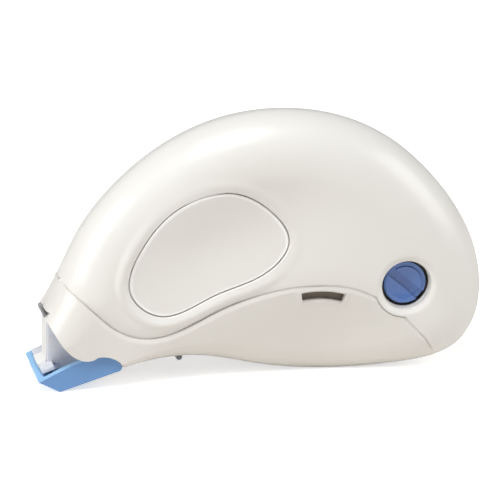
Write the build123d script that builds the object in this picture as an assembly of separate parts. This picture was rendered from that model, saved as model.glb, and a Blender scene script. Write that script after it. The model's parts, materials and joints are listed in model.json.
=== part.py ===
from build123d import *
import math
import os

# Correction tape roller. Millimetres. X runs from the applicator (-X) to the heel (+X), Z is up and
# Y is the thickness: the side with the tension knob faces -Y. The roller stands on its belly and
# on the toe of the closed tip cap, and the origin is on that floor under the middle of the part.

# --- driving sizes: casing -------------------------------------------------------------------
HALF_DEPTH = 9.5            # half of the casing's thickness
WALL = 1.5                  # casing wall
SEAM_GAP = 0.1              # open seam between the front and the back shells
EDGE_RUN_BELLY = 4.5        # depth over which the casing edge is rounded at the belly
EDGE_RUN_FROM = 2.0         # height at which that depth starts to grow
EDGE_RUN_TO = 22.0          # height from which the edge is rounded over the full half depth
OUTLINE_SAMPLES = 44        # stations round each lofted section
LEVELS = 7                  # lofted steps from the seam to the flat side
MIN_ROUNDING = 0.5          # least rounding left on the cavity

# side outline of the casing: x, z and the width of the rounded edge, clockwise from the nose lip
SIDE_OUTLINE = [
    (-42.3, 13.4, 7.0),
    (-38.8, 20.6, 9.0),
    (-34.6, 29.5, 11.0),
    (-28.4, 37.6, 12.0),
    (-19.1, 45.3, 12.0),
    (-8.2, 50.3, 12.0),
    (3.0, 51.9, 12.0),
    (13.9, 50.6, 12.0),
    (24.0, 46.4, 12.0),
    (33.2, 38.8, 12.0),
    (40.3, 29.3, 12.0),
    (43.9, 19.8, 12.0),
    (43.6, 11.6, 11.5),
    (40.1, 5.6, 10.0),
    (34.8, 2.6, 8.0),
    (27.0, 1.0, 6.0),
    (17.0, 0.15, 5.0),
    (8.0, 0.44, 5.0),
    (-2.0, 2.3, 5.0),
    (-10.7, 4.4, 4.0),
    (-18.5, 4.8, 3.0),
    (-26.3, 3.8, 2.0),
    (-34.0, 2.2, 2.0),
    (-40.4, 3.8, 3.5),
    (-43.2, 8.2, 5.0),
]

# parting line between the upper and lower shells, from the nose to the belly
PARTING_LINE = [
    (-46.0, 27.6),
    (-39.0, 20.9),
    (-33.3, 15.9),
    (-28.2, 11.6),
    (-22.4, 9.9),
    (-10.0, 14.2),
    (0.1, 17.8),
    (9.5, 19.2),
    (18.7, 17.7),
    (27.3, 12.0),
    (32.6, 5.9),
    (36.5, -3.0),
]
PARTING_GAP = 0.3           # open width of the groove along the parting line
LIP_WIDTH = 0.8             # bevel on the lower shells' edge of that groove
LIP_DEPTH = 0.45

# grip pads let into both sides
PAD_OUTLINE = [
    (-7.8, 38.4),
    (-16.9, 35.7),
    (-24.4, 27.2),
    (-26.2, 19.0),
    (-20.9, 14.3),
    (-9.9, 17.6),
    (1.1, 22.4),
    (4.7, 27.6),
    (0.4, 34.7),
]
PAD_GAP = 0.25              # open width of the groove round a pad
PAD_SEAT = 0.8              # depth of the seat that a pad lies in
PAD_THICKNESS = 0.75

# --- driving sizes: mechanism ----------------------------------------------------------------
KNOB_X = 27.8               # take-up axis
KNOB_Z = 18.15
GEAR_MODULE = 1.0
SUPPLY_TEETH = 34
TAKE_UP_TEETH = 21
TRAIN_ANGLE = 158.0         # direction of the supply axis seen from the take-up axis
PRESSURE_ANGLE = 20.0
BACKLASH = 0.12             # taken off each tooth at the pitch circle
GEAR_WIDTH = 1.6
RUNNING = 0.05              # radial clearance of a turning fit
SEAT = 0.02                 # radial clearance of a fixed fit
SIDE_PLAY = 0.1             # clearance between faces that turn past each other

TAPE_WIDTH = 5.0
FILM = 0.12                 # thickness of one layer of film as modelled
SPOOL_GAP = 0.15            # room between the tape's edge and a flange
FLANGE = 0.8                # thickness of a spool flange
SUPPLY_FLANGE_R = 14.6
SUPPLY_HUB_R = 7.0
SUPPLY_PACK_R = 13.4
TAKE_UP_FLANGE_R = 10.5
TAKE_UP_HUB_R = 7.4
TAKE_UP_PACK_R = 8.3
HUB_WALL = 1.1
SLEEVE_WALL = 1.1
SUPPLY_AXLE_R = 2.2
TAKE_UP_AXLE_R = 1.6
CHASSIS = 1.2               # thickness of the chassis plate
CLIP_WIDTH = 0.8
CLIP_WALL = 1.5
CLIP_BORE_R = 1.6
AXLE_SHORT = 0.4            # the take-up axle ends this far behind the closed flange
SPOKES = 6
CHASSIS_SUPPLY_R = 10.0
CHASSIS_TAKE_UP_R = 5.0
CHASSIS_ARM_R = 2.6
CHASSIS_HOLE_RING = 6.8
CHASSIS_HOLE_R = 1.8
STANDOFF_R = 2.0
GEAR_HOLE_RING = 10.2
GEAR_HOLE_R = 3.2
FLANGE_HOLE_R = 2.4
DRIVE_HUB_R = 5.8
DRIVE_RING = 4.5
DRIVE_PEG_R = 0.7
FLANK_POINTS = 4

KNOB_R = 4.15
KNOB_HOLE_R = 4.5
KNOB_RIM_R = 5.9            # outer edge of the dished ring round the knob
KNOB_RIM_DEPTH = 0.55
KNOB_RECESS = 1.5           # depth of the knob's face below the casing's side
KNOB_THICKNESS = 1.7
KNOB_LAND = 0.3             # flat land between that ring and the parting groove
KNOB_CHAMFER = 0.25
KNOB_KEY = 2.4
KNOB_STEP_R = 3.3
KNOB_STEP_DEPTH = 0.3
KNOB_STEM_R = 2.4
COIN_SLOT_WIDTH = 1.8
COIN_SLOT_DEPTH = 0.9
COIN_SLOT_ANGLE = -41.0

CLUTCH_ARMS = 3
CLUTCH_NUB_R = 0.6
CLUTCH_ARM = 0.7
CLUTCH_SWEEP = 85.0
CLUTCH_HUB_R = 3.1
CLUTCH_WIDTH = 2.4
CLUTCH_DRIVE_RING = 2.35
CLUTCH_PEG_R = 0.4

# --- driving sizes: applicator, tip cap ------------------------------------------------------
STEM_HALF = 3.2             # half width of the applicator's stem
FOOT_HALF = 6.1             # half width of its foot
FOOT_FRONT = (-42.8, 3.75)
FOOT_LENGTH = 2.6
FOOT_THICKNESS = 0.7
FOOT_SLOPE = 19.0
HEEL_RUN = 7.0              # straight underside of the foot and stem
STEM_FRONT = -41.2
STEM_TOP = 13.1
STEM_CORNER = 1.2
TANG_END = (-26.0, 11.0)    # end of the tang inside the casing
TANG_RISE = (-28.5, 9.3)    # corner where the returning film levels out
GUIDE = 0.55                # thickness of the walls that keep the film central
GUIDE_EDGE = [(-40.6, 2.8), (-38.0, 3.0), (-35.2, 4.4), (-33.0, 6.9)]
FILM_BEND = 0.12
PACK_GAP = 0.3              # room between the moving pack and the run of film
POSTS = [(-29.8, 11.2), (-35.8, 10.9)]
POST_R = 1.1
POST_SHOULDER = 0.8
MOUTH_HALF = 4.5
MOUTH_TOP = 14.7

CAP_HALF = 8.3              # half width of the tip cap
CAP_WALL = 1.5
CAP_FLOOR = 1.3
CAP_FRONT_WALL = 1.05
CAP_FRONT = (-43.6, 2.15)
CAP_TOE = (-39.5, 0.0)
CAP_SLOPE = 17.4            # rise of the cap's underside from the toe to the hinge, in degrees
CAP_ARC_CENTRE = (-31.6, 1.75)
CAP_ARC_R = 4.95
CAP_ARC_END = 99.0          # direction from the arc's centre to where the arc ends
CAP_RIM_END = (-0.90, -0.44)  # direction of the rim at the front
CAP_GAP = 0.3               # open line between the cap and the casing
CAP_KNUCKLE_R = 0.8         # rounded rear corner of the cap, centred on the hinge
HINGE_PEG_R = 0.45
HINGE_PEG_LENGTH = 0.8
NOTCH_R = 5.0               # the cap's floor stops this far from the hinge
CHIN_GAP = 0.4              # clearance between the casing's chin and that floor
CHIN_THICKNESS = 1.9
SLOT_PLAY = 0.2             # side clearance of the cap's ears in the casing's hinge slots
EAR_RELIEF = 1.15           # height above the hinge that the swinging ears need

# edge of the casing's side over the applicator, from the lip to the cap's arc
CHEEK = [(-42.6, 14.7), (-41.0, 12.3), (-39.1, 9.4), (-36.6, 7.0), (-34.3, 6.3)]
NOSE_CLEAR = -60.0

# --- driving sizes: joining ------------------------------------------------------------------

PIN_R = 0.8                 # press pins that join the front and back shells
BOSS_R = 1.7
PIN_LENGTH = 6.0
PIN_PLACES = [
    (-27.5, 32.0),
    (26.5, 39.0),
    (-12.0, 7.0),
    (39.0, 10.0),
    (14.0, 5.2),
]
CATCH_PLACE = (-15.9, 4.75)  # rib under the belly
CATCH_R = 0.6
CATCH_HALF = 6.5
WINDOW_LINE = [(7.0, 17.1), (11.0, 17.35), (15.2, 16.55)]
WINDOW_WIDTH = 1.5
WINDOW_BEVEL = 0.35

# --- places that follow from the sizes above -------------------------------------------------
SIDE_INSIDE = HALF_DEPTH - WALL
HALF_LENGTH = SIDE_OUTLINE[11][0]
CAP_INSIDE_FACE = CAP_WALL + SLOT_PLAY - CAP_HALF
FLANGE_IN = TAPE_WIDTH / 2 + SPOOL_GAP
FLANGE_OUT = FLANGE_IN + FLANGE
GEAR_LOW = FLANGE_OUT + 0.3
GEAR_HIGH = GEAR_LOW + GEAR_WIDTH
PLATE_LOW = GEAR_HIGH + 0.35
PLATE_HIGH = PLATE_LOW + CHASSIS
CLIP_BACK = -FLANGE_OUT - SIDE_PLAY
CLIP_FRONT = CLIP_BACK - CLIP_WIDTH
CENTRES = GEAR_MODULE * (SUPPLY_TEETH + TAKE_UP_TEETH) / 2
SUPPLY_X = KNOB_X + CENTRES * math.cos(math.radians(TRAIN_ANGLE))
SUPPLY_Z = KNOB_Z + CENTRES * math.sin(math.radians(TRAIN_ANGLE))


# --- plane helpers ---------------------------------------------------------------------------
def slab(sketch, low, high):
    """A sketch drawn in x and z, raised into a solid from y = low to y = high."""
    flat = Plane.XZ * sketch
    return Pos(0, low, 0) * extrude(flat, amount=high - low, dir=(0, 1, 0))


def rod(x, z, radius, low, high):
    return slab(Pos(x, z) * Circle(radius), low, high)


def tube(x, z, outer, inner, low, high):
    return slab(Pos(x, z) * (Circle(outer) - Circle(inner)), low, high)


def polar(centre, radius, angle):
    turn = math.radians(angle)
    return (centre[0] + radius * math.cos(turn), centre[1] + radius * math.sin(turn))


def to_back(solid):
    """The same form on the other side of the seam."""
    return mirror(solid, about=Plane.XZ)


# --- casing form -----------------------------------------------------------------------------
def rounding_share(height, level):
    """Share of the edge width that the section has pulled in at this distance from the seam."""
    grow = min(max((height - EDGE_RUN_FROM) / (EDGE_RUN_TO - EDGE_RUN_FROM), 0.0), 1.0)
    grow = grow * grow * (3 - 2 * grow)
    run = 1 + (EDGE_RUN_BELLY / HALF_DEPTH - 1) * (1 - grow)
    along = min(max((level - 1 + run) / run, 0.0), 1.0)
    return 1 - math.sqrt(1 - along * along)


def section(inset, level, depth):
    """Closed section of the casing at y = -depth, pulled in by inset and by its rounded edge."""
    rim = Spline([(x, width, z) for x, z, width in SIDE_OUTLINE], periodic=True)
    points = []
    for station in range(OUTLINE_SAMPLES):
        share = station / OUTLINE_SAMPLES
        spot = rim @ share
        ahead = rim % share
        reach = inset + max(spot.Y - inset, MIN_ROUNDING) * rounding_share(spot.Z, level)
        size = math.hypot(ahead.X, ahead.Z)
        points.append((spot.X + ahead.Z / size * reach, -depth, spot.Z - ahead.X / size * reach))
    return make_face(Spline(points, periodic=True))


def casing_form(inset):
    """Front half of the casing's form, or of its cavity when it is pulled in by the wall."""
    reach = HALF_DEPTH - inset
    sections = []
    for step in range(LEVELS + 1):
        level = math.sin(math.radians(90 * step / LEVELS))
        sections.append(section(inset, level, reach * level))
    return loft(sections)


# --- tip cap form ----------------------------------------------------------------------------
def cap_direction():
    turn = math.radians(CAP_SLOPE)
    return (math.cos(turn), math.sin(turn))


def hinge_place():
    """Centre of the knuckle that touches both the cap's underside and its rear arc."""
    along, rise = cap_direction()
    gap_x = CAP_ARC_CENTRE[0] - CAP_TOE[0]
    gap_z = CAP_ARC_CENTRE[1] - CAP_TOE[1]
    height = CAP_KNUCKLE_R - (gap_z * along - gap_x * rise)
    run = math.sqrt((CAP_ARC_R - CAP_KNUCKLE_R) ** 2 - height ** 2)
    x = CAP_ARC_CENTRE[0] + run * along - height * rise
    z = CAP_ARC_CENTRE[1] + run * rise + height * along
    return (x, z)


def rear_angle():
    """Direction from the centre of the cap's arc to the hinge, in degrees."""
    hinge = hinge_place()
    return math.degrees(math.atan2(hinge[1] - CAP_ARC_CENTRE[1], hinge[0] - CAP_ARC_CENTRE[0]))


def rear_arc(grow):
    """Arc over the rear of the cap, from the knuckle to its top."""
    turns = (rear_angle(), (rear_angle() + CAP_ARC_END) / 2, CAP_ARC_END)
    return ThreePointArc(*[polar(CAP_ARC_CENTRE, CAP_ARC_R + grow, turn) for turn in turns])


def cap_profile():
    """Side profile of the cap."""
    turns = (CAP_SLOPE - 90, (rear_angle() + CAP_SLOPE - 90) / 2, rear_angle())
    knuckle = ThreePointArc(*[polar(hinge_place(), CAP_KNUCKLE_R, turn) for turn in turns])
    arc = rear_arc(0)
    rim = Spline([arc @ 1, CAP_FRONT], tangents=[polar((0, 0), 1, CAP_ARC_END + 90), CAP_RIM_END])
    return make_face([Line(CAP_TOE, knuckle @ 0), knuckle, arc, rim, Line(CAP_FRONT, CAP_TOE)])


def nose_opening():
    """Side region that the casing leaves open for the applicator and the closed cap."""
    arc = rear_arc(CAP_GAP)
    turns = (rear_angle(), rear_angle() / 2, 0)
    knuckle = ThreePointArc(*[polar(hinge_place(), CAP_KNUCKLE_R + CAP_GAP, turn) for turn in turns])
    side = knuckle @ 1
    floor = -HALF_DEPTH
    around = Polyline([side, (side.X, floor), (NOSE_CLEAR, floor), (NOSE_CLEAR, CHEEK[0][1]), CHEEK[0]])
    return make_face([Spline([*CHEEK, arc @ 1]), arc, knuckle, around])


# --- casing shells ---------------------------------------------------------------------------
def chin():
    """Lip of the lower shells between the cap's ears; it carries the cap's hinge bores."""
    hinge = hinge_place()
    along, rise = cap_direction()
    reach = NOTCH_R - CHIN_GAP
    run = math.hypot(hinge[0] - CAP_TOE[0], hinge[1] - CAP_TOE[1])
    low = polar(CAP_TOE, run - reach, CAP_SLOPE)
    far = polar(CAP_TOE, run + 2 * WALL, CAP_SLOPE)
    lift = (-CHIN_THICKNESS * rise, CHIN_THICKNESS * along)
    corners = [low, far, (far[0] + lift[0], far[1] + lift[1]), (low[0] + lift[0], low[1] + lift[1])]
    return make_face(Polyline([*corners, corners[0]]))


def hinge_relief():
    """Side profile of the slots that the cap's ears swing through."""
    x, z = hinge_place()
    room = Pos(x, z) * Circle(NOTCH_R)
    return room & Pos(x + NOTCH_R / 2, z + EAR_RELIEF - NOTCH_R) * Rectangle(NOTCH_R, 2 * NOTCH_R)


def pad_face(inset):
    """Outline of a grip pad, pulled in by inset."""
    rim = Spline(PAD_OUTLINE, periodic=True)
    points = []
    for station in range(OUTLINE_SAMPLES):
        spot, ahead = rim @ (station / OUTLINE_SAMPLES), rim % (station / OUTLINE_SAMPLES)
        points.append((spot.X - ahead.Y * inset, spot.Y + ahead.X * inset))
    return make_face(Spline(points, periodic=True))


def mouth():
    """Notch in the nose lip that the film passes through."""
    left, right = CHEEK[0][0] - WALL, CHEEK[1][0] + WALL
    low = CHEEK[2][1]
    return make_face(Polyline([(left, MOUTH_TOP), (right, MOUTH_TOP), (right, low), (left, low), (left, MOUTH_TOP)]))


def whole_shell():
    """One half of the casing with its bosses, chin and pad seat, before it is divided."""
    side = -2 * HALF_DEPTH
    form = casing_form(0) + rod(*CATCH_PLACE, CATCH_R, -CATCH_HALF, 0)
    hollow = casing_form(WALL)
    for x, z in PIN_PLACES:
        hollow -= rod(x, z, BOSS_R, side, HALF_DEPTH)
        hollow += rod(x, z, PIN_R + SEAT, -PIN_LENGTH / 2 - SEAM_GAP, 0)
    filled = slab(chin(), CAP_INSIDE_FACE, HALF_DEPTH)
    shell = form - (hollow - filled)
    shell -= slab(nose_opening(), side, 0) - filled
    shell -= slab(mouth(), -MOUTH_HALF, 0)
    shell -= slab(hinge_relief(), -CAP_HALF - SLOT_PLAY, CAP_INSIDE_FACE)
    bore_end = CAP_INSIDE_FACE + HINGE_PEG_LENGTH
    shell -= rod(*hinge_place(), HINGE_PEG_R + RUNNING, CAP_INSIDE_FACE - WALL, bore_end)
    shell -= slab(pad_face(0), side, PAD_SEAT - HALF_DEPTH)
    return shell - slab(Rectangle(4 * HALF_LENGTH, 4 * HALF_LENGTH), -SEAM_GAP / 2, SEAM_GAP)


def knob_opening():
    """Hole for the tension knob with the dished ring round its mouth, drawn out past the side."""
    place = Pos(KNOB_X, KNOB_Z)
    flare_r = 2 * KNOB_RIM_R - KNOB_HOLE_R
    outer = Plane.XZ.offset(HALF_DEPTH + KNOB_RIM_DEPTH) * place * Circle(flare_r)
    inner = Plane.XZ.offset(HALF_DEPTH - KNOB_RIM_DEPTH) * place * Circle(KNOB_HOLE_R)
    return loft([outer.face(), inner.face()]) + rod(KNOB_X, KNOB_Z, KNOB_HOLE_R, -HALF_DEPTH, 0)


def lower_region():
    """Area under the parting line, less the ring that stays whole round the knob."""
    curve = Spline(PARTING_LINE)
    start, end = PARTING_LINE[0], PARTING_LINE[-1]
    floor = -HALF_DEPTH
    edges = Polyline([end, (end[0], floor), (start[0], floor), start])
    return make_face([curve, edges]) - knob_ring(0)


def knob_ring(grow):
    return Pos(KNOB_X, KNOB_Z) * Circle(KNOB_RIM_R + KNOB_LAND + grow)


def parting_groove():
    """Open groove along the parting line, round the lower side of the knob's ring."""
    line = trace(Spline(PARTING_LINE), PARTING_GAP) - knob_ring(0)
    ring = (knob_ring(PARTING_GAP) - knob_ring(0)) & lower_region()
    return line + ring


def beside_parting(far):
    """Band from the parting line to a distance below it."""
    curve = Spline(PARTING_LINE)
    below = []
    for station in range(OUTLINE_SAMPLES + 1):
        spot, ahead = curve @ (station / OUTLINE_SAMPLES), curve % (station / OUTLINE_SAMPLES)
        below.append((spot.X + ahead.Y * far, spot.Y - ahead.X * far))
    edge = Spline(below[::-1])
    return make_face([curve, Line(curve @ 1, edge @ 0), edge, Line(edge @ 1, curve @ 0)])


def lip_bevel():
    """Bevel along the lower shell's edge, drawn out past the side."""
    wide = beside_parting(PARTING_GAP / 2 + 2 * LIP_WIDTH)
    narrow = beside_parting(PARTING_GAP / 4)
    outer = Plane.XZ.offset(HALF_DEPTH + LIP_DEPTH) * wide
    inner = Plane.XZ.offset(HALF_DEPTH - LIP_DEPTH) * narrow
    return loft([outer.face(), inner.face()])


def divide(shell):
    """Upper and lower shell of one half."""
    below = slab(lower_region(), -2 * HALF_DEPTH, 0)
    groove = slab(parting_groove(), -2 * HALF_DEPTH, 0)
    return shell - below - groove, (shell & below) - groove - lip_bevel()


def window():
    """Curved slot for watching the tape, with a bevelled mouth."""
    line = Spline(WINDOW_LINE)
    mouth = slab(trace(line, WINDOW_WIDTH + 2 * WINDOW_BEVEL), -2 * HALF_DEPTH, WINDOW_BEVEL - HALF_DEPTH)
    return slab(trace(line, WINDOW_WIDTH), -2 * HALF_DEPTH, 0) + mouth


def grip_pad():
    return slab(pad_face(PAD_GAP), PAD_SEAT - HALF_DEPTH - PAD_THICKNESS, PAD_SEAT - HALF_DEPTH)


# --- tip cap ---------------------------------------------------------------------------------
def tip_cap():
    """Open tray with two ears; it swings on pegs that point inwards from the ears."""
    body = slab(cap_profile(), -CAP_HALF, CAP_HALF)
    along, rise = cap_direction()
    front_turn = math.atan2(CAP_FRONT[1] - CAP_TOE[1], CAP_FRONT[0] - CAP_TOE[0])
    floor_shift = (-CAP_FLOOR * rise, CAP_FLOOR * along)
    front_shift = (CAP_FRONT_WALL * math.sin(front_turn), -CAP_FRONT_WALL * math.cos(front_turn))
    floor_line = (CAP_TOE[0] + floor_shift[0], CAP_TOE[1] + floor_shift[1])
    front_line = (CAP_TOE[0] + front_shift[0], CAP_TOE[1] + front_shift[1])
    corner = meet(floor_line, math.radians(CAP_SLOPE), front_line, front_turn)
    rear = polar(corner, 2 * NOTCH_R + CAP_ARC_R, CAP_SLOPE)
    front = polar(corner, 2 * CAP_ARC_R, math.degrees(front_turn))
    pocket = make_face(Polyline([corner, rear, (rear[0], 2 * MOUTH_TOP), (front[0], 2 * MOUTH_TOP), front, corner]))
    inside = CAP_HALF - CAP_WALL
    body -= slab(pocket, -inside, inside)
    body -= rod(*hinge_place(), NOTCH_R, -inside, inside)
    for side in (-1, 1):
        tip = inside - SLOT_PLAY - HINGE_PEG_LENGTH + SIDE_PLAY
        low, high = sorted((side * tip, side * inside))
        body += rod(*hinge_place(), HINGE_PEG_R, low, high)
    return body


def meet(place_a, turn_a, place_b, turn_b):
    """Point where two lines cross, each given by a point and a direction."""
    gap = (place_b[0] - place_a[0], place_b[1] - place_a[1])
    cross = math.cos(turn_a) * math.sin(turn_b) - math.sin(turn_a) * math.cos(turn_b)
    run = (gap[0] * math.sin(turn_b) - gap[1] * math.cos(turn_b)) / cross
    return (place_a[0] + run * math.cos(turn_a), place_a[1] + run * math.sin(turn_a))


# --- applicator and tape ---------------------------------------------------------------------
def applicator_tip():
    """Stem between the two runs of tape, with the pressing foot across its end."""
    heel, under = stem_heel(0), polar(stem_heel(0), HEEL_RUN / 2, FOOT_SLOPE + 180)
    crown = (STEM_FRONT, STEM_TOP)
    edge = meet(heel, math.radians(FOOT_SLOPE), crown, math.radians(90))
    tang = (TANG_END[0] - GUIDE, STEM_TOP)
    stem = make_face(Polyline([crown, tang, TANG_END, TANG_RISE, heel, edge, crown]))
    stem = fillet(stem.vertices().sort_by_distance((*crown, 0))[0], STEM_CORNER)
    body = slab(stem, -STEM_HALF, STEM_HALF)
    guide = make_face(Polyline([under, *GUIDE_EDGE, TANG_RISE, heel, under]))
    body += slab(guide, -STEM_HALF, GUIDE - STEM_HALF) + slab(guide, STEM_HALF - GUIDE, STEM_HALF)
    body += slab(foot_face(), -FOOT_HALF, FOOT_HALF)
    for x, z in POSTS:
        body -= rod(x, z, POST_R + SEAT, -2 * STEM_HALF, 2 * STEM_HALF)
    return body


def stem_heel(stand):
    """Corner under the stem where the returning film starts to rise, or that corner of the film."""
    below = polar(FOOT_FRONT, FOOT_THICKNESS + stand, FOOT_SLOPE - 90)
    return polar(below, HEEL_RUN, FOOT_SLOPE)


def foot_face():
    back = polar(FOOT_FRONT, FOOT_LENGTH, FOOT_SLOPE)
    under_back = polar(back, FOOT_THICKNESS, FOOT_SLOPE - 90)
    under_front = polar(FOOT_FRONT, FOOT_THICKNESS, FOOT_SLOPE - 90)
    return make_face(Polyline([FOOT_FRONT, back, under_back, under_front, FOOT_FRONT]))


def leaving_point(place, centre, radius, side):
    """Point where a line from place touches a circle, on its lower (-1) or upper (1) side."""
    gap_x, gap_z = centre[0] - place[0], centre[1] - place[1]
    size = math.hypot(gap_x, gap_z)
    turn = math.atan2(gap_z, gap_x) + side * math.asin(radius / size)
    return polar(place, math.sqrt(size * size - radius * radius), math.degrees(turn))


def tape_run():
    """Film from the supply pack, round the applicator's foot and back to the take-up pack."""
    stand = FILM / 2 + SEAT
    top = (STEM_FRONT - stand, STEM_TOP + stand)
    front_top = polar(polar(FOOT_FRONT, stand, FOOT_SLOPE + 90), -stand, FOOT_SLOPE)
    bend = meet(front_top, math.radians(FOOT_SLOPE), top, math.radians(-90))
    front_low = polar(front_top, FOOT_THICKNESS + 2 * stand, FOOT_SLOPE - 90)
    heel = stem_heel(stand)
    rise = (TANG_RISE[0] + stand, TANG_RISE[1] - stand)
    pack = SUPPLY_PACK_R + PACK_GAP + FILM / 2
    wound = TAKE_UP_PACK_R + PACK_GAP + FILM / 2
    feed = leaving_point(top, (SUPPLY_X, SUPPLY_Z), pack, -1)
    wind = leaving_point(rise, (KNOB_X, KNOB_Z), wound, -1)
    path = FilletPolyline(
        [feed, top, bend, front_top, front_low, heel, rise, wind],
        radius=[STEM_CORNER + stand, 0.5, FILM_BEND, FILM_BEND, 1.0, 2.0],
    )
    return slab(trace(path, FILM), -TAPE_WIDTH / 2, TAPE_WIDTH / 2)


# --- chassis ---------------------------------------------------------------------------------
def chassis_plate():
    """Plate behind the gears with both axles and the posts that hold the applicator."""
    around = [
        ((SUPPLY_X, SUPPLY_Z), CHASSIS_SUPPLY_R),
        ((KNOB_X, KNOB_Z), CHASSIS_TAKE_UP_R),
        (POSTS[0], CHASSIS_ARM_R),
        (POSTS[1], CHASSIS_ARM_R),
    ]
    circles = [Pos(*place) * Circle(radius) for place, radius in around]
    outline = make_hull(circles[0].edges() + circles[1].edges())
    outline += make_hull(circles[0].edges() + circles[2].edges())
    outline += make_hull(circles[2].edges() + circles[3].edges())
    body = slab(outline, PLATE_LOW, PLATE_HIGH)
    for place in ((SUPPLY_X, SUPPLY_Z), (KNOB_X, KNOB_Z), POSTS[0]):
        body += rod(*place, STANDOFF_R, PLATE_HIGH, SIDE_INSIDE)
    for turn in range(SPOKES):
        hole = polar((SUPPLY_X, SUPPLY_Z), CHASSIS_HOLE_RING, 360 / SPOKES * turn)
        body -= rod(*hole, CHASSIS_HOLE_R, PLATE_LOW, PLATE_HIGH)
    body += rod(SUPPLY_X, SUPPLY_Z, SUPPLY_AXLE_R, -FLANGE_OUT - SIDE_PLAY, PLATE_LOW)
    body += rod(SUPPLY_X, SUPPLY_Z, CLIP_BORE_R, CLIP_FRONT, PLATE_LOW)
    body += rod(KNOB_X, KNOB_Z, TAKE_UP_AXLE_R, -FLANGE_IN + AXLE_SHORT, PLATE_LOW)
    for x, z in POSTS:
        body += rod(x, z, POST_R, -STEM_HALF, PLATE_LOW)
        body += rod(x, z, POST_R + POST_SHOULDER, STEM_HALF, PLATE_LOW)
    return body


def supply_clip():
    """Push-on ring that keeps the supply spool on its axle."""
    ring = tube(SUPPLY_X, SUPPLY_Z, CLIP_BORE_R + CLIP_WALL, CLIP_BORE_R + SEAT, CLIP_FRONT, CLIP_BACK)
    gap = Pos(SUPPLY_X, SUPPLY_Z - CLIP_BORE_R - CLIP_WALL) * Rectangle(CLIP_BORE_R, 2 * CLIP_WALL)
    return ring - slab(gap, CLIP_FRONT, CLIP_BACK)


def assembly_pins():
    pins = [rod(x, z, PIN_R, -PIN_LENGTH / 2, PIN_LENGTH / 2) for x, z in PIN_PLACES]
    return Compound(children=pins)


# --- gears -----------------------------------------------------------------------------------
def involute(angle):
    return math.tan(angle) - angle


def gear_outline(teeth, lead):
    """Involute gear outline with one tooth centred on the direction lead, in degrees."""
    pitch = GEAR_MODULE * teeth / 2
    pressure = math.radians(PRESSURE_ANGLE)
    base = pitch * math.cos(pressure)
    tip = pitch + GEAR_MODULE
    root = pitch - 1.25 * GEAR_MODULE
    half = (math.pi * GEAR_MODULE / 2 - BACKLASH) / (2 * pitch) + involute(pressure)
    step = 2 * math.pi / teeth
    edges = []
    for tooth in range(teeth):
        middle = math.radians(lead) + tooth * step
        rising, falling = [], []
        for part in range(FLANK_POINTS):
            radius = base + (tip - base) * part / (FLANK_POINTS - 1)
            reach = half - involute(math.acos(base / radius))
            rising.append(at(radius, middle - reach))
            falling.append(at(radius, middle + reach))
        edges.append(Line(at(root, middle - half), rising[0]))
        edges.append(Spline(rising))
        edges.append(ThreePointArc(rising[-1], at(tip, middle), falling[-1]))
        edges.append(Spline(falling[::-1]))
        edges.append(Line(falling[0], at(root, middle + half)))
        gap_end = at(root, middle + step - half)
        edges.append(ThreePointArc(at(root, middle + half), at(root, middle + step / 2), gap_end))
    return make_face(edges)


def at(radius, turn):
    return (radius * math.cos(turn), radius * math.sin(turn))


def supply_gear():
    outline = gear_outline(SUPPLY_TEETH, TRAIN_ANGLE + 180)
    for turn in range(SPOKES):
        outline -= Pos(*polar((0, 0), GEAR_HOLE_RING, 360 / SPOKES * turn)) * Circle(GEAR_HOLE_R)
    outline -= Circle(SUPPLY_AXLE_R + RUNNING)
    body = slab(Pos(SUPPLY_X, SUPPLY_Z) * outline, GEAR_LOW, GEAR_HIGH)
    body += tube(SUPPLY_X, SUPPLY_Z, DRIVE_HUB_R, SUPPLY_AXLE_R + RUNNING, FLANGE_OUT, GEAR_LOW)
    for x, z in drive_places(SUPPLY_X, SUPPLY_Z, DRIVE_RING):
        body -= rod(x, z, DRIVE_PEG_R + SEAT, FLANGE_OUT, GEAR_HIGH)
    return body


def drive_places(x, z, ring):
    return [polar((x, z), ring, 90 + 360 / CLUTCH_ARMS * turn) for turn in range(CLUTCH_ARMS)]


def take_up_gear():
    lead = TRAIN_ANGLE + 180 / TAKE_UP_TEETH
    outline = gear_outline(TAKE_UP_TEETH, lead) - Circle(TAKE_UP_AXLE_R + RUNNING)
    body = slab(Pos(KNOB_X, KNOB_Z) * outline, GEAR_LOW, GEAR_HIGH)
    for x, z in drive_places(KNOB_X, KNOB_Z, CLUTCH_DRIVE_RING):
        body -= rod(x, z, CLUTCH_PEG_R + SEAT, GEAR_LOW, GEAR_HIGH)
    return body


def slip_clutch():
    """Sleeve with three sprung arms whose nubs rub inside the take-up hub."""
    bore = TAKE_UP_HUB_R - HUB_WALL
    seat = CLUTCH_HUB_R - SEAT
    nub_ring = bore - RUNNING - CLUTCH_NUB_R
    profile = Circle(CLUTCH_HUB_R)
    for arm in range(CLUTCH_ARMS):
        start = 360 / CLUTCH_ARMS * arm
        path = Spline([
            polar((0, 0), seat - CLUTCH_ARM / 2, start),
            polar((0, 0), (seat + nub_ring) / 2, start + CLUTCH_SWEEP / 3),
            polar((0, 0), nub_ring, start + CLUTCH_SWEEP),
        ])
        profile += trace(path, CLUTCH_ARM)
        profile += Pos(*polar((0, 0), nub_ring, start + CLUTCH_SWEEP)) * Circle(CLUTCH_NUB_R)
    profile -= Circle(TAKE_UP_AXLE_R + RUNNING)
    body = slab(Pos(KNOB_X, KNOB_Z) * profile, FLANGE_IN - CLUTCH_WIDTH, FLANGE_IN)
    body += tube(KNOB_X, KNOB_Z, CLUTCH_HUB_R, TAKE_UP_AXLE_R + RUNNING, FLANGE_IN, GEAR_LOW)
    for x, z in drive_places(KNOB_X, KNOB_Z, CLUTCH_DRIVE_RING):
        body += rod(x, z, CLUTCH_PEG_R, GEAR_LOW - WALL, GEAR_HIGH)
    return body


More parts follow.
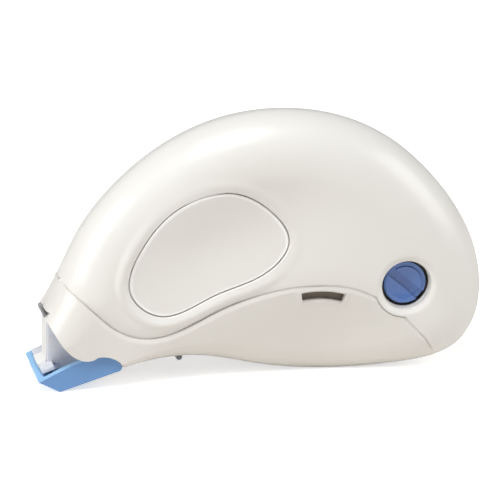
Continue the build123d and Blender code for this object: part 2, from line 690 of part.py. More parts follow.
# --- spools ----------------------------------------------------------------------------------
def supply_spool():
    """Hub, back flange and sleeve of the full reel."""
    x, z = SUPPLY_X, SUPPLY_Z
    inner = SUPPLY_AXLE_R + RUNNING
    body = tube(x, z, SUPPLY_HUB_R, SUPPLY_HUB_R - HUB_WALL, -FLANGE_IN, FLANGE_IN)
    body += tube(x, z, SUPPLY_FLANGE_R, inner, FLANGE_IN, FLANGE_OUT)
    body += tube(x, z, inner + SLEEVE_WALL, inner, -FLANGE_OUT, FLANGE_IN)
    for place in drive_places(x, z, DRIVE_RING):
        body += rod(*place, DRIVE_PEG_R, FLANGE_OUT - FLANGE / 2, GEAR_HIGH)
    return body


def supply_front_flange():
    """Clear flange that closes the full reel; its ring of holes shows the tape."""
    inner = SUPPLY_AXLE_R + RUNNING + SLEEVE_WALL + SEAT
    body = tube(SUPPLY_X, SUPPLY_Z, SUPPLY_FLANGE_R, inner, -FLANGE_OUT, -FLANGE_IN)
    for turn in range(SPOKES):
        hole = polar((SUPPLY_X, SUPPLY_Z), GEAR_HOLE_RING, 360 / SPOKES * turn)
        body -= rod(*hole, FLANGE_HOLE_R, -FLANGE_OUT, -FLANGE_IN)
    return body


def tape_pack(x, z, outer, inner):
    return tube(x, z, outer, inner, -TAPE_WIDTH / 2, TAPE_WIDTH / 2)


def take_up_spool():
    """Small reel: closed at the knob's side, open behind for the slip clutch."""
    x, z = KNOB_X, KNOB_Z
    bore = TAKE_UP_HUB_R - HUB_WALL
    inner = TAKE_UP_AXLE_R + RUNNING
    body = tube(x, z, TAKE_UP_HUB_R, bore, -FLANGE_IN, FLANGE_IN)
    body += rod(x, z, TAKE_UP_FLANGE_R, -FLANGE_OUT, -FLANGE_IN)
    body += tube(x, z, TAKE_UP_FLANGE_R, bore, FLANGE_IN, FLANGE_OUT)
    body += tube(x, z, inner + SLEEVE_WALL, inner, -FLANGE_IN, FLANGE_IN - CLUTCH_WIDTH - SIDE_PLAY)
    return body - slab(Pos(x, z) * key_square(SEAT), -FLANGE_OUT, -FLANGE_IN)


def key_square(grow):
    side = KNOB_KEY + 2 * grow
    return Rectangle(side, side, rotation=COIN_SLOT_ANGLE)


def tension_knob():
    """Disc with a coin slot; its square key turns the take-up spool."""
    face = KNOB_RECESS - HALF_DEPTH
    x, z = KNOB_X, KNOB_Z
    disc = rod(x, z, KNOB_R, face, face + KNOB_THICKNESS)
    disc = chamfer(disc.faces().sort_by(Axis.Y)[0].edges(), KNOB_CHAMFER)
    slot = Pos(x, z) * Rectangle(3 * KNOB_R, COIN_SLOT_WIDTH, rotation=COIN_SLOT_ANGLE)
    disc -= slab(slot, face, face + COIN_SLOT_DEPTH)
    step = tube(x, z, KNOB_R, KNOB_STEP_R, face, face + KNOB_STEP_DEPTH)
    upper = Pos(*polar((x, z), 2 * KNOB_R, COIN_SLOT_ANGLE + 90)) * Rectangle(
        4 * KNOB_R, 4 * KNOB_R - COIN_SLOT_WIDTH, rotation=COIN_SLOT_ANGLE)
    disc -= step & slab(upper, face, face + KNOB_STEP_DEPTH)
    stem = rod(x, z, KNOB_STEM_R, face + KNOB_THICKNESS, -FLANGE_OUT)
    return disc + stem + slab(Pos(x, z) * key_square(0), -FLANGE_OUT, -FLANGE_IN)


# --- write the parts -------------------------------------------------------------------------
def main():
    os.makedirs("parts", exist_ok=True)
    shell = whole_shell()
    upper, lower = divide(shell)
    front_upper, front_lower = divide(shell - knob_opening())
    parts = {
        "front_upper_case": front_upper,
        "front_lower_case": front_lower - window(),
        "back_upper_case": to_back(upper),
        "back_lower_case": to_back(lower),
        "front_grip_pad": grip_pad(),
        "back_grip_pad": to_back(grip_pad()),
        "chassis_plate": chassis_plate(),
        "supply_clip": supply_clip(),
        "assembly_pins": assembly_pins(),
        "applicator_tip": applicator_tip(),
        "tape_run": tape_run(),
        "tip_cap": tip_cap(),
        "supply_spool": supply_spool(),
        "supply_front_flange": supply_front_flange(),
        "supply_tape_pack": tape_pack(SUPPLY_X, SUPPLY_Z, SUPPLY_PACK_R, SUPPLY_HUB_R),
        "supply_gear": supply_gear(),
        "take_up_gear": take_up_gear(),
        "slip_clutch": slip_clutch(),
        "take_up_spool": take_up_spool(),
        "take_up_tape_pack": tape_pack(KNOB_X, KNOB_Z, TAKE_UP_PACK_R, TAKE_UP_HUB_R),
        "tension_knob": tension_knob(),
    }
    for name, solid in parts.items():
        export_step(solid, f"parts/{name}.step")


main()
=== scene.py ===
"""Dresses and lights the correction tape roller.

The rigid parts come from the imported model. This script gives each of them its finish, builds the
moulded outer pieces as smooth surfaces worked out with numpy, and sets up the studio round them.

Blender's own lengths are in metres. The classes' sizes and all arrays of points are in
millimetres, with one row for each point. The side view's x and z are an array of two columns,
called places.
"""

import json
import logging
import math
from dataclasses import dataclass, field
from enum import Enum
from typing import Any, Callable, Dict, List, Optional, Sequence, Tuple

import bpy
import numpy as np
from mathutils import Matrix, Vector

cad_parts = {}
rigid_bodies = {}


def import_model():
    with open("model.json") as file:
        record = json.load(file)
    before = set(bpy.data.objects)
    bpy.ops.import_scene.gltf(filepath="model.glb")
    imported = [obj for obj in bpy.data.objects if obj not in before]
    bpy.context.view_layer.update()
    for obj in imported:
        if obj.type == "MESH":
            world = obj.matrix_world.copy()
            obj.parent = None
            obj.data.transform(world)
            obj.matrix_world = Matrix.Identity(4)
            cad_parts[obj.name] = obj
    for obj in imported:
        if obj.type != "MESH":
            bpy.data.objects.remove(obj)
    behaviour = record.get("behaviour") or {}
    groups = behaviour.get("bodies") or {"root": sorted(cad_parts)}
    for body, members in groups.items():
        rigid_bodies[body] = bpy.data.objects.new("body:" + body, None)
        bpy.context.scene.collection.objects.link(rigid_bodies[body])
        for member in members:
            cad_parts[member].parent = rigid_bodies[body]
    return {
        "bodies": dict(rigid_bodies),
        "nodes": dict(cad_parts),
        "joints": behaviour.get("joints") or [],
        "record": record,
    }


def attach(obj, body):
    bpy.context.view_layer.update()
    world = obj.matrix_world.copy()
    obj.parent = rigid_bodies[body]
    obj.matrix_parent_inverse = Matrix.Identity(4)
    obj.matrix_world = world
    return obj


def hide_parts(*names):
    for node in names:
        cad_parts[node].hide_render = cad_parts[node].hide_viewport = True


log = logging.getLogger("roller")

MM = 0.001
CREASE = 34.0  # degrees past which a moulding's edge is shaded sharp
KNOB_AXIS = (27.8, 18.15)  # the knob's place in the side view

Array = np.ndarray
Pair = Tuple[float, float]
Triple = Tuple[float, float, float]
Nodes = Dict[str, bpy.types.Object]


class Slot(Enum):
    """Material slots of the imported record."""

    CASING = "casing"
    FRAME = "frame"
    APPLICATOR = "applicator"
    TAPE = "tape"
    CAP = "cap_blue"
    KNOB = "knob_blue"
    REEL = "reel"
    FLANGE = "clear_flange"
    GEAR = "gear"


class Body(Enum):
    """Bodies that the joints move."""

    CASE = "case"
    CAP = "cap"
    TAKE_UP = "take_up"


# --- shader node groups ---


def add_node(tree: bpy.types.NodeTree, kind: str, values: Optional[Dict[Any, Any]] = None,
             **settings: Any) -> bpy.types.Node:
    """Adds a node.

    Args:
        tree: Its tree.
        kind: Its type.
        values: Defaults of its inputs.
        settings: Its own properties.

    Returns:
        The new node.
    """
    made = tree.nodes.new(kind)
    for name, value in settings.items():
        setattr(made, name, value)
    set_inputs(made, values or {})
    return made


def set_inputs(node: bpy.types.Node, values: Dict[Any, Any]) -> None:
    """Sets defaults of a node's inputs; a colour gets its alpha of 1."""
    for name, value in values.items():
        colour = node.inputs[name].type == "RGBA"
        node.inputs[name].default_value = (*value, 1.0) if colour else value


def wire(tree: bpy.types.NodeTree, *pairs: Tuple[Any, Any]) -> None:
    """Links the output of each pair to its input."""
    for output, entry in pairs:
        tree.links.new(output, entry)


class MouldedSkin:
    """Surface of an injection moulding: fine grain, slow waves and faint scuffs, and a lighter
    colour painted on faces that point up as painted top light.
    """

    NAME = "moulded skin"
    INPUTS = (("Base", "Color", None), ("Deep", "Color", None), ("Grain", "Float", 900.0),
              ("Roughness", "Float", 0.3), ("Painted Top Light", "Color", None), ("Painted Top Light Share", "Float", 0.0))
    OUTPUTS = (("Colour", "Color", None), ("Rough", "Float", None), ("Height", "Float", None))
    NOISES = ((900.0, 3.0), (38.0, 2.0), (160.0, 6.0))  # scale and detail: grain, cloud, scuff
    UPWARD = {"From Min": 0.35, "From Max": 0.9}
    WEAR = {"From Min": 0.35, "From Max": 0.75, "To Min": -0.03, "To Max": 0.07}

    @classmethod
    def group(cls) -> bpy.types.NodeTree:
        """Returns the node group, built on first use."""
        ready = bpy.data.node_groups.get(cls.NAME)
        if ready is not None:
            return ready
        tree = bpy.data.node_groups.new(cls.NAME, "ShaderNodeTree")
        for way, sockets in (("INPUT", cls.INPUTS), ("OUTPUT", cls.OUTPUTS)):
            for name, kind, value in sockets:
                socket = tree.interface.new_socket(
                    name=name, in_out=way, socket_type="NodeSocket" + kind)
                if value is not None:
                    socket.default_value = value
        source, sink = add_node(tree, "NodeGroupInput"), add_node(tree, "NodeGroupOutput")
        place = add_node(tree, "ShaderNodeTexCoord")
        grain, cloud, scuff = (
            add_node(tree, "ShaderNodeTexNoise", {"Scale": scale, "Detail": detail})
            for scale, detail in cls.NOISES)
        tint, lit = (add_node(tree, "ShaderNodeMix", data_type="RGBA") for _ in range(2))
        split = add_node(tree, "ShaderNodeSeparateXYZ")
        # Faces whose normal points up get the lighter colour: a painted top light.
        upward = add_node(tree, "ShaderNodeMapRange", cls.UPWARD, interpolation_type="SMOOTHSTEP")
        wear = add_node(tree, "ShaderNodeMapRange", cls.WEAR)
        share, total = (add_node(tree, "ShaderNodeMath", operation=name)
                        for name in ("MULTIPLY", "ADD"))
        wire(
            tree,
            *((place.outputs["Object"], noise.inputs["Vector"]) for noise in (grain, cloud, scuff)),
            (source.outputs["Grain"], grain.inputs["Scale"]),
            (cloud.outputs["Fac"], tint.inputs[0]),
            (source.outputs["Deep"], tint.inputs[6]),
            (source.outputs["Base"], tint.inputs[7]),
            (place.outputs["Normal"], split.inputs["Vector"]),
            (split.outputs["Z"], upward.inputs["Value"]),
            (upward.outputs["Result"], share.inputs[0]),
            (source.outputs["Painted Top Light Share"], share.inputs[1]),
            (share.outputs["Value"], lit.inputs[0]),
            (tint.outputs[2], lit.inputs[6]),
            (source.outputs["Painted Top Light"], lit.inputs[7]),
            (lit.outputs[2], sink.inputs["Colour"]),
            (scuff.outputs["Fac"], wear.inputs["Value"]),
            (source.outputs["Roughness"], total.inputs[0]),
            (wear.outputs["Result"], total.inputs[1]),
            (total.outputs["Value"], sink.inputs["Rough"]),
            (grain.outputs["Fac"], sink.inputs["Height"]),
        )
        return tree


# --- finishes ---


SCATTER_REACH = (0.8 * MM, 0.7 * MM, 0.6 * MM)
BUMP_REACH = 0.05 * MM


@dataclass(frozen=True)
class Finish:
    """One plastic finish.

    Attributes:
        name: The material's name.
        base: Colour where the moulding is clean.
        deep: Slightly darker tone that drifts through it.
        roughness: Mean roughness.
        grain: Scale of the fine grain.
        relief: Strength of the grain.
        coat: Weight of the glossy outer layer.
        coat_roughness: Roughness of that layer.
        scatter: Share of light that scatters under the surface.
        transmission: Share of light that passes through.
        rim: Lighter colour painted on faces that point up, a painted highlight on rims and tops.
    """

    name: str
    base: Triple
    deep: Triple
    roughness: float = 0.35
    grain: float = 900.0
    relief: float = 0.03
    coat: float = 0.0
    coat_roughness: float = 0.1
    scatter: float = 0.0
    transmission: float = 0.0
    rim: Optional[Triple] = None

    def material(self) -> bpy.types.Material:
        """Returns the material, built on first use."""
        ready = bpy.data.materials.get(self.name)
        if ready is not None:
            return ready
        made = bpy.data.materials.new(self.name)
        made.use_nodes = True
        made.diffuse_color = (*self.base, 1.0)
        tree = made.node_tree
        shader = tree.nodes["Principled BSDF"]
        set_inputs(shader, {
            "Coat Weight": self.coat, "Coat Roughness": self.coat_roughness,
            "Subsurface Weight": self.scatter, "Subsurface Radius": SCATTER_REACH,
            "Subsurface Scale": 1.0, "Transmission Weight": self.transmission})
        skin = add_node(tree, "ShaderNodeGroup", node_tree=MouldedSkin.group())
        # The rim colour is painted top light on faces that point up.
        set_inputs(skin, {
            "Base": self.base, "Deep": self.deep, "Grain": self.grain,
            "Roughness": self.roughness, "Painted Top Light": self.rim or self.base,
            "Painted Top Light Share": 1.0 if self.rim else 0.0})
        bump = add_node(tree, "ShaderNodeBump", {"Strength": self.relief, "Distance": BUMP_REACH})
        wire(tree,
             (skin.outputs["Colour"], shader.inputs["Base Color"]),
             (skin.outputs["Rough"], shader.inputs["Roughness"]),
             (skin.outputs["Height"], bump.inputs["Height"]),
             (bump.outputs["Normal"], shader.inputs["Normal"]))
        return made


WARM_WHITE = Finish("warm white moulding", (0.86, 0.85, 0.82), (0.82, 0.80, 0.76),
                    roughness=0.36, coat=0.25, coat_roughness=0.2)
# Dark brown behind the slit: the reel's colour darkened as painted shade.
SLIT_PAINTED_SHADE = Finish("painted shade inside the slit", (0.26, 0.22, 0.18), (0.20, 0.17, 0.14), roughness=0.6)
# Dark bar laid over the end of the white rib under the belly.
CATCH_DARK_BAR = Finish("dark bar on the catch", (0.20, 0.22, 0.26), (0.16, 0.18, 0.21), roughness=0.5)
# Dark grey at the mouth's end: painted shade for the gap between the two shells.
MOUTH_END_SHADE = Finish("painted shade at the end of the mouth", (0.36, 0.36, 0.37), (0.30, 0.30, 0.31), roughness=0.6)
# Darker copy of the warm white for the lower shells: painted shade on the same plastic as the upper
# shells.
LOWER_SHADED_WHITE = Finish("warm white moulding, lower shells", (0.82, 0.80, 0.765), (0.78, 0.755, 0.715),
                     roughness=0.36, coat=0.25, coat_roughness=0.2)
FRAME_GREY = Finish("grey frame moulding", (0.36, 0.37, 0.38), (0.30, 0.30, 0.31), roughness=0.5)
MILKY = Finish("milky applicator", (0.94, 0.95, 1.0), (0.80, 0.82, 0.95),
               roughness=0.25, coat=0.3, scatter=0.4)
TAPE_WHITE = Finish("coated film", (0.92, 0.92, 0.90), (0.88, 0.88, 0.86), roughness=0.45)
# The cap's lighter rim blue is painted top light on faces that point up.
CAP_BLUE = Finish("satin blue moulding", (0.18, 0.37, 0.70), (0.15, 0.32, 0.64), roughness=0.38,
                  coat=0.15, coat_roughness=0.25, rim=(0.34, 0.61, 0.93))
KNOB_BLUE = Finish("glossy blue moulding", (0.10, 0.22, 0.58), (0.08, 0.18, 0.50), roughness=0.3,
                   coat=0.8, coat_roughness=0.1)
REEL_DARK = Finish("dark recycled plastic", (0.60, 0.52, 0.43), (0.50, 0.43, 0.35), roughness=0.5)
CLEAR = Finish("clear flange", (0.9, 0.92, 0.93), (0.88, 0.9, 0.92), roughness=0.12,
               transmission=0.9)
ACETAL = Finish("natural acetal", (0.66, 0.63, 0.56), (0.6, 0.57, 0.5), roughness=0.45)

FINISHES: Dict[Slot, Finish] = {
    Slot.CASING: WARM_WHITE,
    Slot.FRAME: FRAME_GREY,
    Slot.APPLICATOR: MILKY,
    Slot.TAPE: TAPE_WHITE,
    Slot.CAP: CAP_BLUE,
    Slot.KNOB: KNOB_BLUE,
    Slot.REEL: REEL_DARK,
    Slot.FLANGE: CLEAR,
    Slot.GEAR: ACETAL,
}


# --- meshes worked out with numpy ---


def add_object(name: str, data: bpy.types.ID) -> bpy.types.Object:
    """Puts a new object with the given data in the scene."""
    made = bpy.data.objects.new(name, data)
    bpy.context.scene.collection.objects.link(made)
    return made


def make_piece(name: str, points: Array, faces: Array, finish: Finish,
               sharp: Optional[Array] = None, node: Optional[str] = None,
               body: Body = Body.CASE) -> bpy.types.Object:
    """Turns arrays into a smooth-shaded piece at the origin, and reports it.

    Args:
        name: Name of the object and its mesh.
        points: Its points.
        faces: Triangles or quads, as rows of point numbers.
        finish: Its finish.
        sharp: Pairs of point numbers whose edge is shaded as a crease.
        node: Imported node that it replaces.
        body: Body that it rides on.

    Returns:
        The new piece.
    """
    corners = faces.shape[1]
    mesh = bpy.data.meshes.new(name)
    mesh.vertices.add(len(points))
    mesh.vertices.foreach_set("co", (points * MM).astype(np.float32).ravel())
    mesh.loops.add(faces.size)
    mesh.loops.foreach_set("vertex_index", faces.astype(np.int32).ravel())
    mesh.polygons.add(len(faces))
    mesh.polygons.foreach_set("loop_start", np.arange(0, faces.size, corners, dtype=np.int32))
    mesh.polygons.foreach_set("loop_total", np.full(len(faces), corners, dtype=np.int32))
    mesh.update(calc_edges=True)
    mesh.validate()
    mesh.polygons.foreach_set("use_smooth", np.ones(len(mesh.polygons), dtype=bool))
    if sharp is not None and len(sharp):
        ends = np.empty(len(mesh.edges) * 2, dtype=np.int32)
        mesh.edges.foreach_get("vertices", ends)
        ends = np.sort(ends.reshape(-1, 2), axis=1)
        wanted = np.sort(sharp, axis=1)
        total = np.int64(len(mesh.vertices))
        crease = mesh.attributes.new("sharp_edge", "BOOLEAN", "EDGE")
        crease.data.foreach_set("value", np.isin(
            ends[:, 0] * total + ends[:, 1], wanted[:, 0] * total + wanted[:, 1]))
    mesh.materials.append(finish.material())
    made = add_object(name, mesh)
    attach(made, body.value)
    if node is not None:
        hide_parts(node)
    log.info("%s: %d faces", name, len(faces))
    return made


def lattice(rows: int, columns: int, closed: bool = False) -> Array:
    """Numbers the quads between neighbouring rings of points.

    Args:
        rows: Number of rings.
        columns: Points in each ring, whose last one joins its first.
        closed: Whether the last ring joins the first.

    Returns:
        For each quad a point, the next in its ring, and those two's neighbours one ring on.
    """
    row, column = np.meshgrid(np.arange(rows - (not closed)), np.arange(columns), indexing="ij")
    a, b = (row * columns + place % columns for place in (column, column + 1))
    quads = np.column_stack([a.ravel(), b.ravel(), (b + columns).ravel(), (a + columns).ravel()])
    return quads % (rows * columns)


def capped(rows: int, columns: int) -> Array:
    """Numbers the triangles of a tube with closed ends.

    Args:
        rows: Number of rings.
        columns: Points in each ring.

    Returns:
        The triangles, where the two end points come after the rings.
    """
    quads = lattice(rows, columns)
    ring, tip = np.arange(columns), np.full(columns, rows * columns)
    last = (rows - 1) * columns
    return np.vstack([
        quads[:, [0, 1, 2]], quads[:, [0, 2, 3]],
        np.column_stack([tip, np.roll(ring, -1), ring]),
        np.column_stack([last + ring, last + np.roll(ring, -1), tip + 1])])


class SideCurve:
    """Smooth curve in the side view, through given points, kept as many short chords."""

    LOW, HIGH, STEP = (-46.0, -2.0), (46.0, 54.0), 0.25  # grid of distances
    BLOCK = 400  # places measured at a time

    def __init__(self, points: Sequence[Pair], closed: bool, samples: int = 480) -> None:
        """Works out the curve.

        The curve is a cubic spline over the summed lengths of the chords. Its second slopes come
        from one linear system, which wraps round for a closed curve and is zero at open ends.

        Args:
            points: Places that the curve passes.
            closed: Whether it returns to its start.
            samples: Number of chords.
        """
        knots = np.array(points, dtype=float)
        if closed:
            knots = np.vstack([knots, knots[:1]])
        spans = np.linalg.norm(np.diff(knots, axis=0), axis=1)
        marks = np.concatenate([[0.0], np.cumsum(spans)])
        count = len(knots)
        rows = np.arange(1, count - 1)
        system = np.zeros((count, count))
        right = np.zeros((count, 2))
        system[rows, rows - 1] = spans[:-1]
        system[rows, rows] = 2 * (spans[:-1] + spans[1:])
        system[rows, rows + 1] = spans[1:]
        slopes = np.diff(knots, axis=0) / spans[:, None]
        right[rows] = 6 * (slopes[1:] - slopes[:-1])
        if closed:
            system[0, [0, 1, count - 2]] = 2 * (spans[0] + spans[-1]), spans[0], spans[-1]
            right[0] = 6 * (slopes[0] - slopes[-1])
            system[-1, [0, -1]] = 1.0, -1.0
        else:
            system[0, 0] = system[-1, -1] = 1.0
        bend = np.linalg.solve(system, right)
        at = np.linspace(0.0, marks[-1], samples + 1)
        part = np.clip(np.searchsorted(marks, at, side="right") - 1, 0, count - 2)
        width = spans[part][:, None]
        ahead = (at - marks[part])[:, None]
        behind = width - ahead
        self.spots = (bend[part] * behind ** 3 + bend[part + 1] * ahead ** 3) / (6 * width)
        self.spots += (knots[part] / width - bend[part] * width / 6) * behind
        self.spots += (knots[part + 1] / width - bend[part + 1] * width / 6) * ahead
        self.grid: Optional[Array] = None

    def measure(self, places: Array) -> Array:
        """Signed distance of places from the curve, positive on its left.

        It is the least distance to any chord, with the sign of the cross product there.

        Args:
            places: The places.

        Returns:
            One distance for each.
        """
        starts = self.spots[:-1].astype(np.float32)
        steps = np.diff(self.spots, axis=0).astype(np.float32)
        lengths = (steps ** 2).sum(1)
        found = np.empty(len(places))
        blocks = max(1, len(places) // self.BLOCK)
        for block in np.array_split(np.arange(len(places)), blocks):
            dx = places[block, 0, None].astype(np.float32) - starts[None, :, 0]
            dz = places[block, 1, None].astype(np.float32) - starts[None, :, 1]
            along = np.clip((dx * steps[:, 0] + dz * steps[:, 1]) / lengths, 0.0, 1.0)
            size = (dx - along * steps[:, 0]) ** 2 + (dz - along * steps[:, 1]) ** 2
            nearest = size.argmin(1)
            rows = np.arange(len(block))
            cross = steps[nearest, 0] * dz[rows, nearest] - steps[nearest, 1] * dx[rows, nearest]
            found[block] = np.sqrt(size[rows, nearest]) * np.sign(cross)
        return found

    def away(self, places: Array) -> Array:
        """Vector from the curve's nearest sample to each place."""
        gaps = ((places[:, None, :] - self.spots[None]) ** 2).sum(2)
        return places - self.spots[gaps.argmin(1)]

    def distance(self, places: Array) -> Array:
        """Signed distance read from a fine grid of measured ones, weighted by nearness.

        Args:
            places: The places.

        Returns:
            One distance for each.
        """
        if self.grid is None:
            axes = [np.arange(low, high + self.STEP, self.STEP)
                    for low, high in zip(self.LOW, self.HIGH)]
            spots = np.stack(np.meshgrid(*axes, indexing="ij"), axis=-1)
            self.grid = self.measure(spots.reshape(-1, 2)).reshape(spots.shape[:2])
        at = (places - np.array(self.LOW)) / self.STEP
        at = np.clip(at, 0.0, np.array(self.grid.shape) - 1.001)
        cell = at.astype(int)
        (i, j), (u, v) = cell.T, (at - cell).T
        low, high = (self.grid[i, k] * (1 - u) + self.grid[i + 1, k] * u for k in (j, j + 1))
        return low * (1 - v) + high * v


def ease(value: Array, low: float, high: float) -> Array:
    """Smooth step: 0 below low, 1 above high, and 3 t squared less 2 t cubed between."""
    share = np.clip((value - low) / (high - low), 0.0, 1.0)
    return share * share * (3 - 2 * share)


def left_of(ways: Array) -> Array:
    """Unit vectors a quarter turn to the left of others in the side view."""
    ways = ways / np.linalg.norm(ways, axis=1, keepdims=True)
    return np.column_stack([-ways[:, 1], ways[:, 0]])


@dataclass
class SideRelief:
    """How far the casing's sides stand back from flat, as a function of the side view's place.

    Attributes:
        half_depth: Depth of the flat side from the middle plane.
        pad_rim: Points round a grip pad's seat, counter-clockwise.
        parting: Points along the parting line, from nose to belly.
        hollow_centre: Middle of the finger hollow.
        hollow_turn: Its turn, in degrees.
        hollow_reach: Its spread along and across.
        hollow_depth: Its depth in the middle.
        ridge_height: Height of the soft ridge round the pad.
        ridge_width: Its width.
        edge_round: Radius of the casing's edge round the pad.
        roll_depth: Drop of the upper shell's lower edge.
        roll_width: Width over which it drops.
        lean: Lean of the lower shell's side, in degrees.
        ridge_fade: Range of 0.9 z + 0.5 x over which the ridge loses three quarters.
        roll_fade: Range of x over which the roll loses seven tenths.
        lean_fade: Range of x over which the lean grows from nothing.
    """

    half_depth: float = 9.5
    pad_rim: Sequence[Pair] = (
        (-7.8, 38.4), (-16.9, 35.7), (-24.4, 27.2), (-26.2, 19.0), (-20.9, 14.3),
        (-9.9, 17.6), (1.1, 22.4), (4.7, 27.6), (0.4, 34.7),
    )
    parting: Sequence[Pair] = (
        (-46.0, 27.6), (-39.0, 20.9), (-33.3, 15.9), (-28.2, 11.6), (-22.4, 9.9), (-10.0, 14.2),
        (0.1, 17.8), (9.5, 19.2), (18.7, 17.7), (27.3, 12.0), (32.6, 5.9), (36.5, -3.0),
    )
    hollow_centre: Pair = (-9.0, 27.5)
    hollow_turn: float = 24.0
    hollow_reach: Pair = (15.0, 7.5)
    hollow_depth: float = 2.3
    ridge_height: float = 0.5
    ridge_width: float = 3.0
    edge_round: float = 0.22
    roll_depth: float = 0.8
    roll_width: float = 3.2
    lean: float = 13.5
    ridge_fade: Pair = (8.0, 24.0)
    roll_fade: Pair = (-8.0, 6.0)
    lean_fade: Pair = (-27.0, -17.0)
    pad_curve: SideCurve = field(init=False)
    parting_curve: SideCurve = field(init=False)

    def __post_init__(self) -> None:
        """Works out both curves."""
        self.pad_curve = SideCurve(self.pad_rim, closed=True)
        self.parting_curve = SideCurve(self.parting, closed=False)

    def hollow(self, x: Array, z: Array) -> Array:
        """Finger hollow: depth times e to minus half the squared, turned and scaled offset.

        Args:
            x: Places along the body.
            z: Heights.

        Returns:
            Its depth at each place.
        """
        turn = math.radians(self.hollow_turn)
        dx, dz = x - self.hollow_centre[0], z - self.hollow_centre[1]
        along = (dx * math.cos(turn) + dz * math.sin(turn)) / self.hollow_reach[0]
        across = (dz * math.cos(turn) - dx * math.sin(turn)) / self.hollow_reach[1]
        return self.hollow_depth * np.exp(-0.5 * (along ** 2 + across ** 2))

    def ridge(self, x: Array, z: Array, outside: Array) -> Array:
        """Soft ridge round the pad: a raised cosine of the distance, strongest low and left.

        Args:
            x: Places along the body.
            z: Heights.
            outside: Distance outside the pad's rim.

        Returns:
            Its height at each place.
        """
        share = np.clip(outside / self.ridge_width, 0.0, 1.0)
        weight = 1.0 - 0.75 * ease(0.9 * z + 0.5 * x, *self.ridge_fade)
        bump = 0.5 * (1 + np.cos(np.pi * (2 * share - 1))) * (outside > 0)
        return self.ridge_height * weight * bump

    def shared(self, x: Array, z: Array, outside: Array) -> Array:
        """Hollow less ridge, which the casing and the pads both follow."""
        return np.maximum(self.hollow(x, z) - self.ridge(x, z, outside), 0.0)

    def measured(self, points: Array) -> Tuple[Array, ...]:
        """x, z, the distance outside the pad's rim and that above the parting line."""
        places = points[:, [0, 2]]
        return (*places.T, -self.pad_curve.distance(places), self.parting_curve.distance(places))

    def upper(self, points: Array) -> Array:
        """Drop of the upper shells' sides: the hollow, a rounded edge round the pad's seat, and
        a roll towards the parting line that fades to the right.

        Args:
            points: The points.

        Returns:
            Drop at each point.
        """
        x, z, outside, above = self.measured(points)
        near = np.clip(1 - outside / self.edge_round, 0.0, 1.0) * (outside > -0.02)
        soft = self.edge_round * (1 - np.sqrt(1 - near ** 2 * 0.98))
        fade = 1.0 - 0.7 * ease(x, *self.roll_fade)
        roll = self.roll_depth * fade * np.clip(1 - above / self.roll_width, 0.0, 1.0) ** 2
        return self.shared(x, z, outside) + soft + roll

    def lower(self, points: Array) -> Array:
        """Drop of the lower shells' sides: the tangent of the lean times the distance below
        the parting line, fading to nothing at the nose.

        Args:
            points: The points.

        Returns:
            Drop at each point.
        """
        x, z, outside, above = self.measured(points)
        lean = math.tan(math.radians(self.lean)) * np.maximum(-above, 0.0)
        return lean * ease(x, *self.lean_fade) + self.shared(x, z, outside)

    def settle(self, points: Array, drop: Array) -> Array:
        """Moves points towards the middle plane: y is scaled by one less drop over half depth."""
        moved = points.copy()
        moved[:, 1] *= 1 - drop / self.half_depth
        return moved


